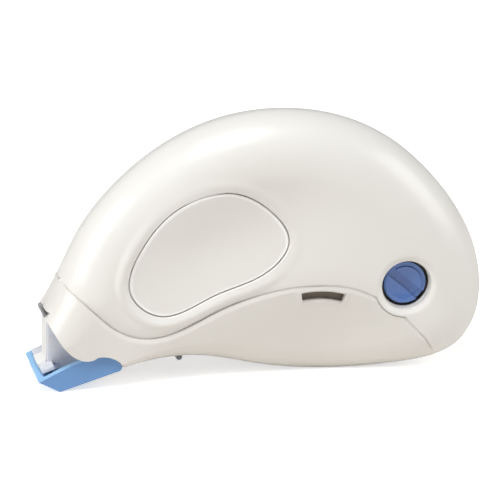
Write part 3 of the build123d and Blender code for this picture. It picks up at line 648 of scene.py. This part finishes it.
class FineCopy:
    """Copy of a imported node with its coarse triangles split, so that it can be shaped."""

    # Triangles made for each set of halved edges, a sum of 1, 2 and 4. Numbers 0 to 2 are the
    # corners, and 3 to 5 the middles of the edges that start at them.
    SPLITS = (
        (0, ((0, 1, 2),)),
        (1, ((0, 3, 2), (3, 1, 2))),
        (2, ((1, 4, 0), (4, 2, 0))),
        (4, ((2, 5, 1), (5, 0, 1))),
        (3, ((0, 3, 4), (3, 1, 4), (0, 4, 2))),
        (6, ((1, 4, 5), (4, 2, 5), (1, 5, 0))),
        (5, ((2, 5, 3), (5, 0, 3), (2, 3, 1))),
        (7, ((0, 3, 5), (3, 1, 4), (5, 4, 2), (3, 4, 5))),
    )

    def __init__(self, node: bpy.types.Object) -> None:
        """Reads the node's triangles, with equal points merged.

        Args:
            node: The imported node.
        """
        mesh = node.data
        mesh.calc_loop_triangles()
        points = np.empty(len(mesh.vertices) * 3, dtype=np.float32)
        faces = np.empty(len(mesh.loop_triangles) * 3, dtype=np.int32)
        mesh.vertices.foreach_get("co", points)
        mesh.loop_triangles.foreach_get("vertices", faces)
        whole = np.round(points.reshape(-1, 3).astype(float) / MM, 4)
        self.points, merged = np.unique(whole, axis=0, return_inverse=True)
        faces = merged.ravel()[faces.reshape(-1, 3)]
        self.faces = faces[(faces != np.roll(faces, -1, axis=1)).all(1)]

    def edges(self) -> Tuple[Array, Array]:
        """Lists the edges once each.

        Returns:
            The pairs of points, and for each triangle the numbers of its three edges.
        """
        pairs = np.sort(self.faces[:, [[0, 1], [1, 2], [2, 0]]].reshape(-1, 2), axis=1)
        unique, which = np.unique(pairs, axis=0, return_inverse=True)
        return unique, which.reshape(-1, 3)

    def refine(self, target: Callable[[Array], Array], passes: int = 9) -> None:
        """Halves every edge that is longer than its target, until none is.

        A triangle with one, two or three halved edges becomes two, three or four, so
        neighbours always share whole edges.

        Args:
            target: Longest edge allowed at each midpoint.
            passes: Most rounds of halving.
        """
        for _ in range(passes):
            pairs, which = self.edges()
            ends = self.points[pairs]
            middle = ends.mean(1)
            split = np.linalg.norm(ends[:, 0] - ends[:, 1], axis=1) > target(middle)
            if not split.any():
                return
            number = np.full(len(pairs), -1)
            number[split] = len(self.points) + np.arange(split.sum())
            self.points = np.vstack([self.points, middle[split]])
            marks = number[which]
            code = (marks >= 0) @ np.array([1, 2, 4])
            spots = np.hstack([self.faces, marks])
            self.faces = np.vstack([spots[code == halved][:, corners]
                                    for halved, made in self.SPLITS for corners in made])

    def creases(self, least: float = CREASE) -> Array:
        """Finds the edges where the surface turns by more than an angle.

        The cosine of the turn is the product of two triangles' unit normals, and a normal is
        the cross product of two sides.

        Args:
            least: The angle, in degrees.

        Returns:
            Their pairs of points.
        """
        pairs, which = self.edges()
        a, b, c = (self.points[self.faces[:, corner]] for corner in range(3))
        normals = np.cross(b - a, c - a)
        normals /= np.maximum(np.linalg.norm(normals, axis=1, keepdims=True), 1e-12)
        order = np.argsort(which.ravel(), kind="stable")
        owner = np.repeat(np.arange(len(self.faces)), 3)[order]
        numbers = which.ravel()[order]
        same = numbers[1:] == numbers[:-1]
        cosine = (normals[owner[1:]] * normals[owner[:-1]]).sum(1)
        turned = same & (cosine < math.cos(math.radians(least)))
        return pairs[numbers[1:][turned]]


@dataclass
class Casing:
    """The four shells and two grip pads, with the hollows and soft edges of the moulding.

    Attributes:
        relief: Shape of the sides.
        fine: Edge length on the open side.
        finest: Edge length beside the pad's groove and the parting line.
        coarse: Edge length elsewhere.
        bands: Distances from a rim within which edges are finest, and half as long as fine.
        side_from: Depth from the middle plane past which a point is on the side.
        pad_gap: Width of the groove round a pad.
        pad_top: Depth of a pad's face from the middle plane.
        pad_back: Depth of its back.
        pad_round: Radius of its edge.
        hollow_depths: Depth of each side's finger hollow; the back's clears the axle's end.
        window_line: Middle line of the slit, shorter than it by half its width at each end.
        window_grow: Distance that the slit's edge moves out.
        window_shift: Distance that the whole slit moves.
        window_reach: Distances from the line up to which the move counts, and where it ends.
        window_bar: Depth, half width, thickness and overrun of the dark bar behind the slit, a
            painted shade.
        catch_ends: Ends of the catch under the belly.
        catch_r: Its radius.
        slot_ends: Ends of the dark bar at the mouth's end, a painted shade for the shaded gap
            between the shells.
        slot_r: Its radius in the side view.
        knob_hole: Radius of the knob's hole.
        knob_ring: Radius of the dished ring round it.
        mouth_ease: How far the hole is eased open.
        sleeve: Section of the wall round the knob, as radius and y.
        front_wall: y in front of which the knob's side of the casing lies.
        floor_depth: Depth of a groove's floor below its edges.
        seam_reach: Distances from the parting line and from one place on it within which a
            shell's points count for the floor's height.
        seam_least: Least depth of such a point, and of a place that gets a floor.
        seam_share: Share of their greatest depth that counts as outer, and its rise.
        seam_rise: Range of x over which the share rises.
        seam_sinks: Extra depth of the floor on the back, on the side and at the nose, the last
            two with the range of x over which they come and go.
        least_drop: Least depth of a floor's edges below the flat side.
        ring_gap: Distance of the groove's turn from the dished ring.
        ring_span: Angles between which it turns, in degrees.
        ring_sink: Depth of its floor below the flat side.
        nose_bar: Inset, half length and radius of the bar that closes the groove's front.
        nose_end: x at which the nose ends.
        shapes_before: Points of one side's shells before they are shaped.
    """

    relief: SideRelief = field(default_factory=SideRelief)
    fine: float = 0.95
    finest: float = 0.18
    coarse: float = 4.0
    bands: Pair = (0.5, 3.0)
    side_from: float = 8.4
    pad_gap: float = 0.2
    pad_top: float = 9.45
    pad_back: float = 8.72
    pad_round: float = 0.25
    hollow_depths: Tuple[Tuple[str, float], ...] = (("front", 2.3), ("back", 1.0))
    window_line: Tuple[Pair, ...] = ((7.75, 17.17), (11.0, 17.35), (14.5, 16.73))
    window_grow: float = 0.12
    window_shift: Pair = (0.3, -0.45)
    window_reach: Pair = (1.1, 2.4)
    window_bar: Tuple[float, ...] = (7.3, 2.4, 0.35, 2.2)
    catch_ends: Tuple[Triple, ...] = ((-15.9, -5.2, 4.72), (-15.9, 5.2, 4.72))
    catch_r: float = 0.62
    slot_ends: Tuple[Triple, ...] = ((-42.1, 0.0, 14.85), (-40.9, 0.0, 12.5))
    slot_r: float = 0.45
    knob_hole: float = 4.5
    knob_ring: float = 5.9
    mouth_ease: float = 0.42
    sleeve: Tuple[Pair, ...] = (
        (4.72, -8.2), (5.1, -7.95), (5.1, -6.9), (4.72, -6.9))
    front_wall: float = -7.6
    floor_depth: float = 0.07
    seam_reach: Pair = (2.4, 0.32)
    seam_least: Pair = (0.3, 0.6)
    seam_share: Pair = (0.93, 0.055)
    seam_rise: Pair = (-38.0, -35.0)
    seam_sinks: Tuple[Tuple[float, ...], ...] = ((0.25,), (0.12, -30.0, -15.0), (0.5, -38.2, -36.8))
    least_drop: float = 0.25
    ring_gap: float = 0.45
    ring_span: Pair = (196.0, 292.0)
    ring_sink: float = 0.55
    nose_bar: Triple = (0.42, 2.6, 0.26)
    nose_end: float = -30.0
    shapes_before: List[Array] = field(default_factory=list)

    def target(self, places: Array) -> Array:
        """Longest edge allowed: finest beside the pad's rim and the parting line.

        Args:
            places: Points on the shells.

        Returns:
            One length for each point.
        """
        close, near = self.bands
        side = np.abs(places[:, 1]) > self.side_from
        _, _, outside, above = self.relief.measured(places)
        line = np.abs(above) + 0.1
        rim = np.where(side, np.minimum(np.abs(outside), line), np.inf)
        inner = np.where(side, self.fine, np.where(line < close, 2 * self.finest, self.coarse))
        return np.where(rim < close, self.finest, np.where(rim < near, 0.5 * self.fine, inner))

    def shell(self, node: bpy.types.Object, shape: Callable[[Array], Array]) -> None:
        """Shapes one shell.

        Args:
            node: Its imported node.
            shape: Drop of its side at each point.
        """
        copy = FineCopy(node)
        copy.refine(self.target)
        self.shapes_before.append(copy.points)
        opened = self.open_window(self.open_mouth(copy.points))
        settled = self.relief.settle(opened, shape(copy.points))
        # The lower shells get the darker copy of the white, as painted shade.
        finish = LOWER_SHADED_WHITE if "lower" in node.name else WARM_WHITE
        make_piece(node.name + "_moulding", settled, copy.faces, finish, copy.creases(), node.name)

    def open_mouth(self, points: Array) -> Array:
        """Eases the knob's hole open: points near its wall move out along their own radius, by
        an amount that fades to nothing at the dished ring's outer edge.

        Args:
            points: The points.

        Returns:
            The moved points.
        """
        away = points[:, [0, 2]] - np.array(KNOB_AXIS)
        radius = np.linalg.norm(away, axis=1)
        grow = self.mouth_ease * (1 - ease(radius, self.knob_hole, self.knob_ring))
        grow *= (points[:, 1] < self.front_wall) & (radius > self.knob_hole - 0.3)
        moved = points.copy()
        moved[:, [0, 2]] += away * (grow / np.maximum(radius, 1e-6))[:, None]
        return moved

    def open_window(self, points: Array) -> Array:
        """Eases the slit open and shifts it: points round it move away from its middle line,
        and by the shift, and both fade to nothing a little way off.

        Args:
            points: The points.

        Returns:
            The moved points.
        """
        low = np.min(self.window_line, axis=0) - self.window_reach[1]
        high = np.max(self.window_line, axis=0) + self.window_reach[1]
        flat = points[:, [0, 2]]
        chosen = np.flatnonzero(
            (points[:, 1] < self.front_wall) & ((flat > low) & (flat < high)).all(1))
        offset = SideCurve(self.window_line, closed=False, samples=60).away(flat[chosen])
        far = np.linalg.norm(offset, axis=1)
        share = 1 - ease(far, *self.window_reach)
        grow = self.window_grow * share
        moved = points.copy()
        moved[np.ix_(chosen, [0, 2])] += offset * (grow / np.maximum(far, 1e-6))[:, None]
        moved[np.ix_(chosen, [0, 2])] += share[:, None] * np.array(self.window_shift)
        return moved

    def window_shade_plate(self) -> None:
        """Makes a painted shade for the slit: a dark bar along its middle line behind the wall, the
        reel's brown darkened as if in shade.
        """
        depth, half, thick, overrun = self.window_bar
        line = SideCurve(self.window_line, closed=False, samples=24).spots
        ways = np.array([line[0] - line[1], line[-1] - line[-2]])
        ends = line[[0, -1]] + overrun * ways / np.linalg.norm(line[1] - line[0])
        path = np.vstack([ends[:1], line, ends[1:]])
        self.groove_floor("window_shade_plate", path, np.full(len(path), depth + self.floor_depth), -1.0,
                          half, thick, SLIT_PAINTED_SHADE)

    def knob_sleeve(self) -> None:
        """Makes the wall that the knob sits in, a short tube turned about the knob's axis."""
        turn = np.radians(np.arange(0, 360, 4))[:, None]
        reach, depth = np.array(self.sleeve).T
        points = np.stack([KNOB_AXIS[0] + np.cos(turn) * reach, depth + 0.0 * turn,
                           KNOB_AXIS[1] + np.sin(turn) * reach], axis=-1)
        faces = lattice(*points.shape[:2], closed=True)
        make_piece("knob_sleeve", points.reshape(-1, 3), faces, WARM_WHITE, faces[:, [0, 3]])

    def rod(self, name: str, ends: Sequence[Sequence[float]], radius: float,
            wide: Sequence[float], finish: Finish) -> None:
        """Makes a bar with round ends, carried with the case.

        Each section is a ring across the bar, and its size follows the cosine of an angle that
        runs over both round ends.

        Args:
            name: Name of the piece.
            ends: Middles of the two round ends.
            radius: Radius of the bar.
            wide: Direction in which the section is drawn out, as long as it is stretched.
            finish: Its finish.
        """
        start, end = (np.array(point) for point in ends)
        ahead = (end - start) / np.linalg.norm(end - start)
        stretched = np.array(wide)
        across = np.cross(ahead, stretched / np.linalg.norm(stretched))
        turn = np.radians(np.arange(0, 360, 15))
        bow = np.radians(np.linspace(-85, 85, 18))
        place = (bow > 0)[:, None] * (end - start) + np.sin(bow)[:, None] * radius * ahead
        ring = np.cos(turn)[:, None] * across + np.sin(turn)[:, None] * stretched
        sections = (start + place)[:, None, :] + (np.cos(bow) * radius)[:, None, None] * ring[None]
        points = np.vstack([sections.reshape(-1, 3), start - ahead * radius, end + ahead * radius])
        faces = capped(*sections.shape[:2])
        if np.dot(np.cross(across, stretched), ahead) < 0:
            faces = faces[:, ::-1]
        make_piece(name, points, faces, finish)

    def groove_floor(self, name: str, path: Array, height: Array, side: float,
                     half: float = 0.3, thick: float = 0.6, finish: Finish = WARM_WHITE) -> None:
        """Makes the shallow floor of a groove: a four-sided bar carried along a path.

        Each corner is the path's point moved half the width along its normal, at the height of
        the casing there less the groove's depth or the bar's whole depth.

        Args:
            name: Name of the piece.
            path: Points along the groove in the side view.
            height: Depth of the casing's side from the middle plane at each point.
            side: -1 for the knob's side, 1 for the other.
            half: Half the bar's width.
            thick: Thickness of the bar.
            finish: Its finish.
        """
        across = left_of(np.gradient(path, axis=0)) * half
        top, bottom = height - self.floor_depth, height - self.floor_depth - thick
        corners = np.stack([
            np.insert(path + sign * across, 1, side * level, axis=1)
            for sign, level in ((1, top), (-1, top), (-1, bottom), (1, bottom))], axis=1)
        count = len(path)
        quads = lattice(count, 4)[:, [0, 3, 2, 1]]
        last = 4 * count - 1
        faces = np.vstack([quads, [(0, 1, 2, 3), (last, last - 1, last - 2, last - 3)]])
        if side > 0:
            faces = faces[:, ::-1]
        make_piece(name, corners.reshape(-1, 3), faces, finish, quads[:, :2])

    def floors(self, points: Array, side: float, name: str) -> None:
        """Closes the parting line's groove, and its turn round the knob's ring, just below the
        surface, as the real shells' lap joint does.

        Args:
            points: Points of both shells on this side before they are shaped.
            side: -1 for the knob's side, 1 for the other.
            name: Start of the pieces' names.
        """
        path = self.relief.parting_curve.spots[::2]
        run_on = np.linspace(2.0, 0.2, 10)[:, None]
        before, after = path[0] - path[1], path[-1] - path[-2]
        path = np.vstack([path[0] + run_on * before / np.linalg.norm(before), path,
                          path[-1] + run_on[::-1] * after / np.linalg.norm(after)])
        ring = self.knob_ring + self.ring_gap
        path = path[np.linalg.norm(path - np.array(KNOB_AXIS), axis=1) > ring]
        band, reach = self.seam_reach
        beside = np.abs(self.relief.parting_curve.distance(points[:, [0, 2]])) < band
        outer = points[beside & (np.abs(points[:, 1]) > self.seam_least[0])]
        gaps = ((path[:, None, :] - outer[None, :, [0, 2]]) ** 2).sum(2)
        close = gaps < reach ** 2
        if side < 0:
            inset, half, radius = self.nose_bar
            seam = outer[close.any(0) & (outer[:, 0] < self.nose_end)]
            front = path[path[:, 0] > seam[:, 0].min() + inset][0]
            self.rod("nose_groove", [(front[0], y, front[1]) for y in (-half, half)], radius,
                     (1.0, 0.0, 0.0), WARM_WHITE)
        depth = np.abs(outer[:, 1])
        local = np.where(close, depth[None], 0.0)
        most = local.max(1)
        share, rise = self.seam_share
        least = (share + rise * ease(path[:, 0], *self.seam_rise)) * most
        near = np.where(local > least[:, None], gaps, np.inf).argmin(1)
        seen = most > self.seam_least[1]
        path, height = path[seen], depth[near][seen]
        height = np.convolve(np.pad(height, 1, mode="edge"), np.ones(3) / 3, mode="valid")
        (back,), (along, *flank), (front_sink, *nose) = self.seam_sinks
        x = path[:, 0]
        height -= back * (side > 0) + along * ease(x, *flank) + front_sink * (1 - ease(x, *nose))
        drop = self.relief.upper(np.insert(path, 1, 0.0, axis=1))
        height *= 1 - np.maximum(drop, self.least_drop) / self.relief.half_depth
        left = x < KNOB_AXIS[0] - 4
        for part, chosen in (("left", left), ("right", ~left)):
            if chosen.sum() > 3:
                self.groove_floor(f"{name}_groove_{part}", path[chosen], height[chosen], side)
        turn = np.radians(np.linspace(*self.ring_span, 60))
        arc = np.array(KNOB_AXIS) + ring * np.column_stack([np.cos(turn), np.sin(turn)])
        self.groove_floor(f"{name}_groove_ring", arc,
                          np.full(60, self.relief.half_depth - self.ring_sink), side)

    def pad(self, side: float, node: str) -> None:
        """Makes one grip pad.

        Rings run from the middle of the face to its rim, over a quarter round, down the wall
        and back to the middle behind. A ring's points lie on the line from the middle to the
        rim, and the face follows the finger hollow.

        Args:
            side: -1 for the knob's side, 1 for the other.
            node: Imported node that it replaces.
        """
        face, bow, back = 27, 7, 6  # rings on the face, over the edge and behind
        rim = self.relief.pad_curve.spots[:-1:2]
        inward = left_of(np.roll(rim, -1, axis=0) - np.roll(rim, 1, axis=0))
        middle = rim.mean(0)
        turn = np.radians(np.linspace(0, 90, bow))
        inset = np.concatenate([np.full(face, self.pad_round),
                                self.pad_round * (1 - np.sin(turn)), np.zeros(1 + back)])
        depth = np.concatenate([np.full(face, self.pad_top),
                                self.pad_top - self.pad_round * (1 - np.cos(turn)),
                                np.full(1 + back, self.pad_back)])
        share = np.concatenate([np.linspace(0, 1, face + 1)[1:], np.ones(bow + 1),
                                np.linspace(1, 0, back + 1)[:-1]])
        rings = rim[None] + inward[None] * (self.pad_gap + inset)[:, None, None]
        rings = middle + (rings - middle) * share[:, None, None]
        places = np.vstack([rings.reshape(-1, 2), middle, middle])
        deep = np.append(np.repeat(depth, len(rim)), [self.pad_top, self.pad_back])
        points = np.insert(places, 1, side * deep, axis=1)
        drop = self.relief.shared(*places.T, np.full(len(places), -1.0))
        faces = capped(len(share), len(rim))
        if side < 0:
            faces = faces[:, ::-1]
        settled = self.relief.settle(points, drop)
        make_piece(node + "_moulding", settled, faces, WARM_WHITE, node=node)

    def build(self, nodes: Nodes) -> None:
        """Makes every piece of the casing and hides the nodes that they stand for.

        Args:
            nodes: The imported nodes.
        """
        shapes = {"upper": self.relief.upper, "lower": self.relief.lower}
        for side, hollow_depth in self.hollow_depths:
            self.relief.hollow_depth = hollow_depth
            self.shapes_before = []
            for level, shape in shapes.items():
                self.shell(nodes[f"{side}_{level}_case"], shape)
            way = -1.0 if side == "front" else 1.0
            self.floors(np.vstack(self.shapes_before), way, side)
            self.pad(way, f"{side}_grip_pad")
        self.window_shade_plate()
        self.knob_sleeve()
        # Dark bar at the mouth's end: painted shade for the gap between the shells.
        self.rod("mouth_end_shade", self.slot_ends, self.slot_r, (0.0, 1.6, 0.0), MOUTH_END_SHADE)
        # A dark bar laid over the end of the white rib under the belly.
        self.rod("belly_catch", self.catch_ends, self.catch_r, (1.0, 0.0, 0.0), CATCH_DARK_BAR)


@dataclass
class SoftEdged:
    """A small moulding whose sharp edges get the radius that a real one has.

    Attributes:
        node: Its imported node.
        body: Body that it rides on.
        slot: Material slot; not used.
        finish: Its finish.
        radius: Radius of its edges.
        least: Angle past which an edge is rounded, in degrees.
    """

    node: str
    body: Body
    slot: Slot
    finish: Finish
    radius: float
    least: float = 40.0

    def build(self, nodes: Nodes) -> None:
        """Makes the piece: flat areas are joined, then its sharp edges are rounded.

        Args:
            nodes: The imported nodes.
        """
        copy = FineCopy(nodes[self.node])
        piece = make_piece(self.node + "_moulding", copy.points, copy.faces, self.finish,
                           copy.creases(self.least), self.node, self.body)
        flat = piece.modifiers.new("join flat areas", "DECIMATE")
        flat.decimate_type = "DISSOLVE"
        flat.angle_limit = math.radians(1.0)
        soft = piece.modifiers.new("round edges", "BEVEL")
        soft.width = self.radius * MM
        soft.segments = 3
        soft.limit_method = "ANGLE"
        soft.angle_limit = math.radians(self.least)
        soft.harden_normals = True
        log.info("%s: edges rounded by %.2f mm", piece.name, self.radius)


@dataclass
class TensionKnob:
    """The slotted knob, with a dished face inside a narrow rim.

    Attributes:
        dish_r: Radius of the dish.
        dish_depth: Depth of the dish in the middle.
        step: Depth of the small step at the dish's rim.
        step_wide: Width of that step.
        recess: Distance that the whole face moves in.
        back: Depth of its back from the middle plane.
        thick: Height above its back from which points move by the whole amount.
        edges: Longest edges beside the dish's rim, on the face and on the shaft.
    """

    dish_r: float = 3.35
    dish_depth: float = 0.4
    step: float = 0.1
    step_wide: float = 0.12
    recess: float = 0.5
    back: float = 6.3
    thick: float = 1.0
    edges: Triple = (0.12, 0.4, 3.0)

    def target(self, places: Array) -> Array:
        """Longest edge allowed: fine on the face, coarse on the shaft.

        Args:
            places: Points on the knob.

        Returns:
            One length for each point.
        """
        radius = np.linalg.norm(places[:, [0, 2]] - np.array(KNOB_AXIS), axis=1)
        rim, face, shaft = self.edges
        near = np.abs(radius - self.dish_r) < 0.3
        return np.where(places[:, 1] < -self.back - 0.3, np.where(near, rim, face), shaft)

    def build(self, nodes: Nodes) -> None:
        """Shapes the knob.

        Each point moves in by its share of the thickness. Inside the dish it also moves in by
        the step, and by the depth times one less the squared share of the dish's radius.

        Args:
            nodes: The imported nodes.
        """
        copy = FineCopy(nodes["tension_knob"])
        copy.refine(self.target)
        points = copy.points.copy()
        radius = np.linalg.norm(points[:, [0, 2]] - np.array(KNOB_AXIS), axis=1)
        bowl = self.dish_depth * (1 - np.clip(radius / self.dish_r, 0.0, 1.0) ** 2)
        edge = self.step * (1 - ease(radius, self.dish_r - self.step_wide, self.dish_r))
        part = np.clip((-points[:, 1] - self.back) / self.thick, 0.0, 1.0)
        points[:, 1] += (bowl + edge + self.recess) * part
        make_piece("tension_knob_moulding", points, copy.faces, KNOB_BLUE, copy.creases(),
                   "tension_knob", Body.TAKE_UP)


# --- carried-over nodes ---


class CarriedParts:
    """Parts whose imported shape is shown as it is."""

    def __init__(self, frame: Dict[str, Any]) -> None:
        """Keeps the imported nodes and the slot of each.
        """
        self.nodes = frame["nodes"]
        rows = frame["record"]["subparts"]
        self.slots = {row["node"]: Slot(row["material_slot"]) for row in rows}

    def dress(self) -> None:
        """Gives every node its finish."""
        for name, node in self.nodes.items():
            finish = FINISHES[self.slots[name]]
            node.data.materials.clear()
            node.data.materials.append(finish.material())
            log.info("%s: %s", name, finish.name)


# --- studio ---


@dataclass
class Studio:
    """Pale floor, soft lamps and the camera.

    Attributes:
        target_mm: Point that the camera and the lamps look at.
        azimuth: Turn of the view about +Z, towards -X, in degrees.
        elevation: Height of the view, in degrees.
        roll: Turn of the picture, in degrees.
        distance_mm: Distance of the camera from the target.
        lens: Focal length on a 36 mm sensor.
        lamps: Name, place, width and power in watts of each lamp.
        floor_half: Half the floor's width, in metres.
        seen: Colour of the floor where the camera sees it.
        glow: Light that it adds there.
        bounced: Its colour to all other rays.
        air: Colour of the light from all round.
        air_strength: Strength of that light.
    """

    target_mm: Triple = (-1.23, 0.0, 23.85)
    azimuth: float = 12.5
    elevation: float = 18.8
    roll: float = 1.2
    distance_mm: float = 800.0
    lens: float = 299.5
    lamps: Tuple[Tuple[str, Triple, float, float], ...] = (
        ("key lamp", (-130, -300, 840), 420, 4.7),
        ("left lamp", (-700, -200, 330), 400, 2.9),
        ("right lamp", (700, -200, 330), 400, 2.1),
    )
    floor_half: float = 1.5
    seen: Triple = (0.98, 0.98, 0.98)
    glow: float = 0.6
    bounced: Triple = (0.86, 0.825, 0.78)
    air: Triple = (0.97, 0.985, 1.0)
    air_strength: float = 0.17

    @staticmethod
    def by_ray(tree: bpy.types.NodeTree, others: Any, camera: Any, output: str) -> None:
        """Shows one shader to the camera and another to all other rays.

        Args:
            tree: Their tree.
            others: Output of the shader for the other rays.
            camera: Output of the shader for the camera.
            output: Name of the node that takes the result.
        """
        path, choose = (add_node(tree, "ShaderNode" + kind) for kind in ("LightPath", "MixShader"))
        wire(tree, (path.outputs["Is Camera Ray"], choose.inputs[0]), (others, choose.inputs[1]),
             (camera, choose.inputs[2]),
             (choose.outputs["Shader"], tree.nodes[output].inputs["Surface"]))

    def floor(self) -> None:
        """Makes the floor: pale, and white where the camera sees it directly."""
        half = self.floor_half
        mesh = bpy.data.meshes.new("studio_floor")
        corners = [(-half, -half, 0), (half, -half, 0), (half, half, 0), (-half, half, 0)]
        mesh.from_pydata(corners, [], [(0, 1, 2, 3)])
        paint = bpy.data.materials.new("studio paper")
        paint.use_nodes = True
        tree = paint.node_tree
        tree.nodes.remove(tree.nodes["Principled BSDF"])
        seen, bounced = (add_node(tree, "ShaderNodeBsdfDiffuse", {"Color": colour})
                         for colour in (self.seen, self.bounced))
        glow = add_node(tree, "ShaderNodeEmission", {"Strength": self.glow})
        both = add_node(tree, "ShaderNodeAddShader")
        wire(tree, (seen.outputs["BSDF"], both.inputs[0]),
             (glow.outputs["Emission"], both.inputs[1]))
        self.by_ray(tree, bounced.outputs["BSDF"], both.outputs["Shader"], "Material Output")
        mesh.materials.append(paint)
        add_object("studio_floor", mesh)

    def world(self) -> None:
        """Lights the air evenly and shows white behind the object."""
        world = bpy.data.worlds.new("studio air")
        world.use_nodes = True
        tree = world.node_tree
        air = tree.nodes["Background"]
        set_inputs(air, {"Color": self.air, "Strength": self.air_strength})
        white = add_node(tree, "ShaderNodeBackground",
                         {"Color": (1.0, 1.0, 1.0), "Strength": 1.0})
        self.by_ray(tree, air.outputs["Background"], white.outputs["Background"], "World Output")
        bpy.context.scene.world = world

    def lamp(self, name: str, place_mm: Sequence[float], size_mm: float, power: float) -> None:
        """Adds a square soft lamp that faces the target.

        Args:
            name: The lamp's name.
            place_mm: Where it stands.
            size_mm: Its width.
            power: Its power in watts.
        """
        light = bpy.data.lights.new(name, "AREA")
        light.size = size_mm * MM
        light.energy = power
        place = Vector(place_mm) * MM
        way = (Vector(self.target_mm) * MM - place).to_track_quat("-Z", "Y")
        add_object(name, light).matrix_world = (
            Matrix.Translation(place) @ way.to_matrix().to_4x4())

    def camera(self) -> None:
        """Sets the camera at its angle, distance and roll."""
        turn, rise = math.radians(self.azimuth), math.radians(self.elevation)
        ahead = Vector((math.sin(turn) * math.cos(rise), math.cos(turn) * math.cos(rise),
                        -math.sin(rise)))
        right = Vector((math.cos(turn), -math.sin(turn), 0.0))
        up = right.cross(ahead)
        tilt = math.radians(self.roll)
        right, up = (right * math.cos(tilt) + up * math.sin(tilt),
                     up * math.cos(tilt) - right * math.sin(tilt))
        place = Vector(self.target_mm) * MM - ahead * self.distance_mm * MM
        data = bpy.data.cameras.new("camera")
        data.lens = self.lens
        data.sensor_width = 36.0
        data.clip_end = 10.0
        axes = Matrix((right, up, -ahead)).transposed().to_4x4()
        bpy.context.scene.camera = add_object("camera", data)
        bpy.context.scene.camera.matrix_world = Matrix.Translation(place) @ axes

    def build(self) -> None:
        """Makes the whole studio."""
        self.floor()
        self.world()
        for lamp in self.lamps:
            self.lamp(*lamp)
        self.camera()
        bpy.context.scene.view_settings.view_transform = "Standard"


def main() -> None:
    """Builds the roller piece by piece and reports each one."""
    logging.basicConfig(level=logging.INFO, format="%(name)s: %(message)s")
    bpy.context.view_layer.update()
    CarriedParts(frame).dress()
    Casing().build(frame["nodes"])
    for moulding in (
        SoftEdged("tip_cap", Body.CAP, Slot.CAP, CAP_BLUE, 0.22),
        SoftEdged("applicator_tip", Body.CASE, Slot.APPLICATOR, MILKY, 0.15),
    ):
        moulding.build(frame["nodes"])
    TensionKnob().build(frame["nodes"])
    Studio().build()


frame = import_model()

if __name__ == "__main__":
    main()
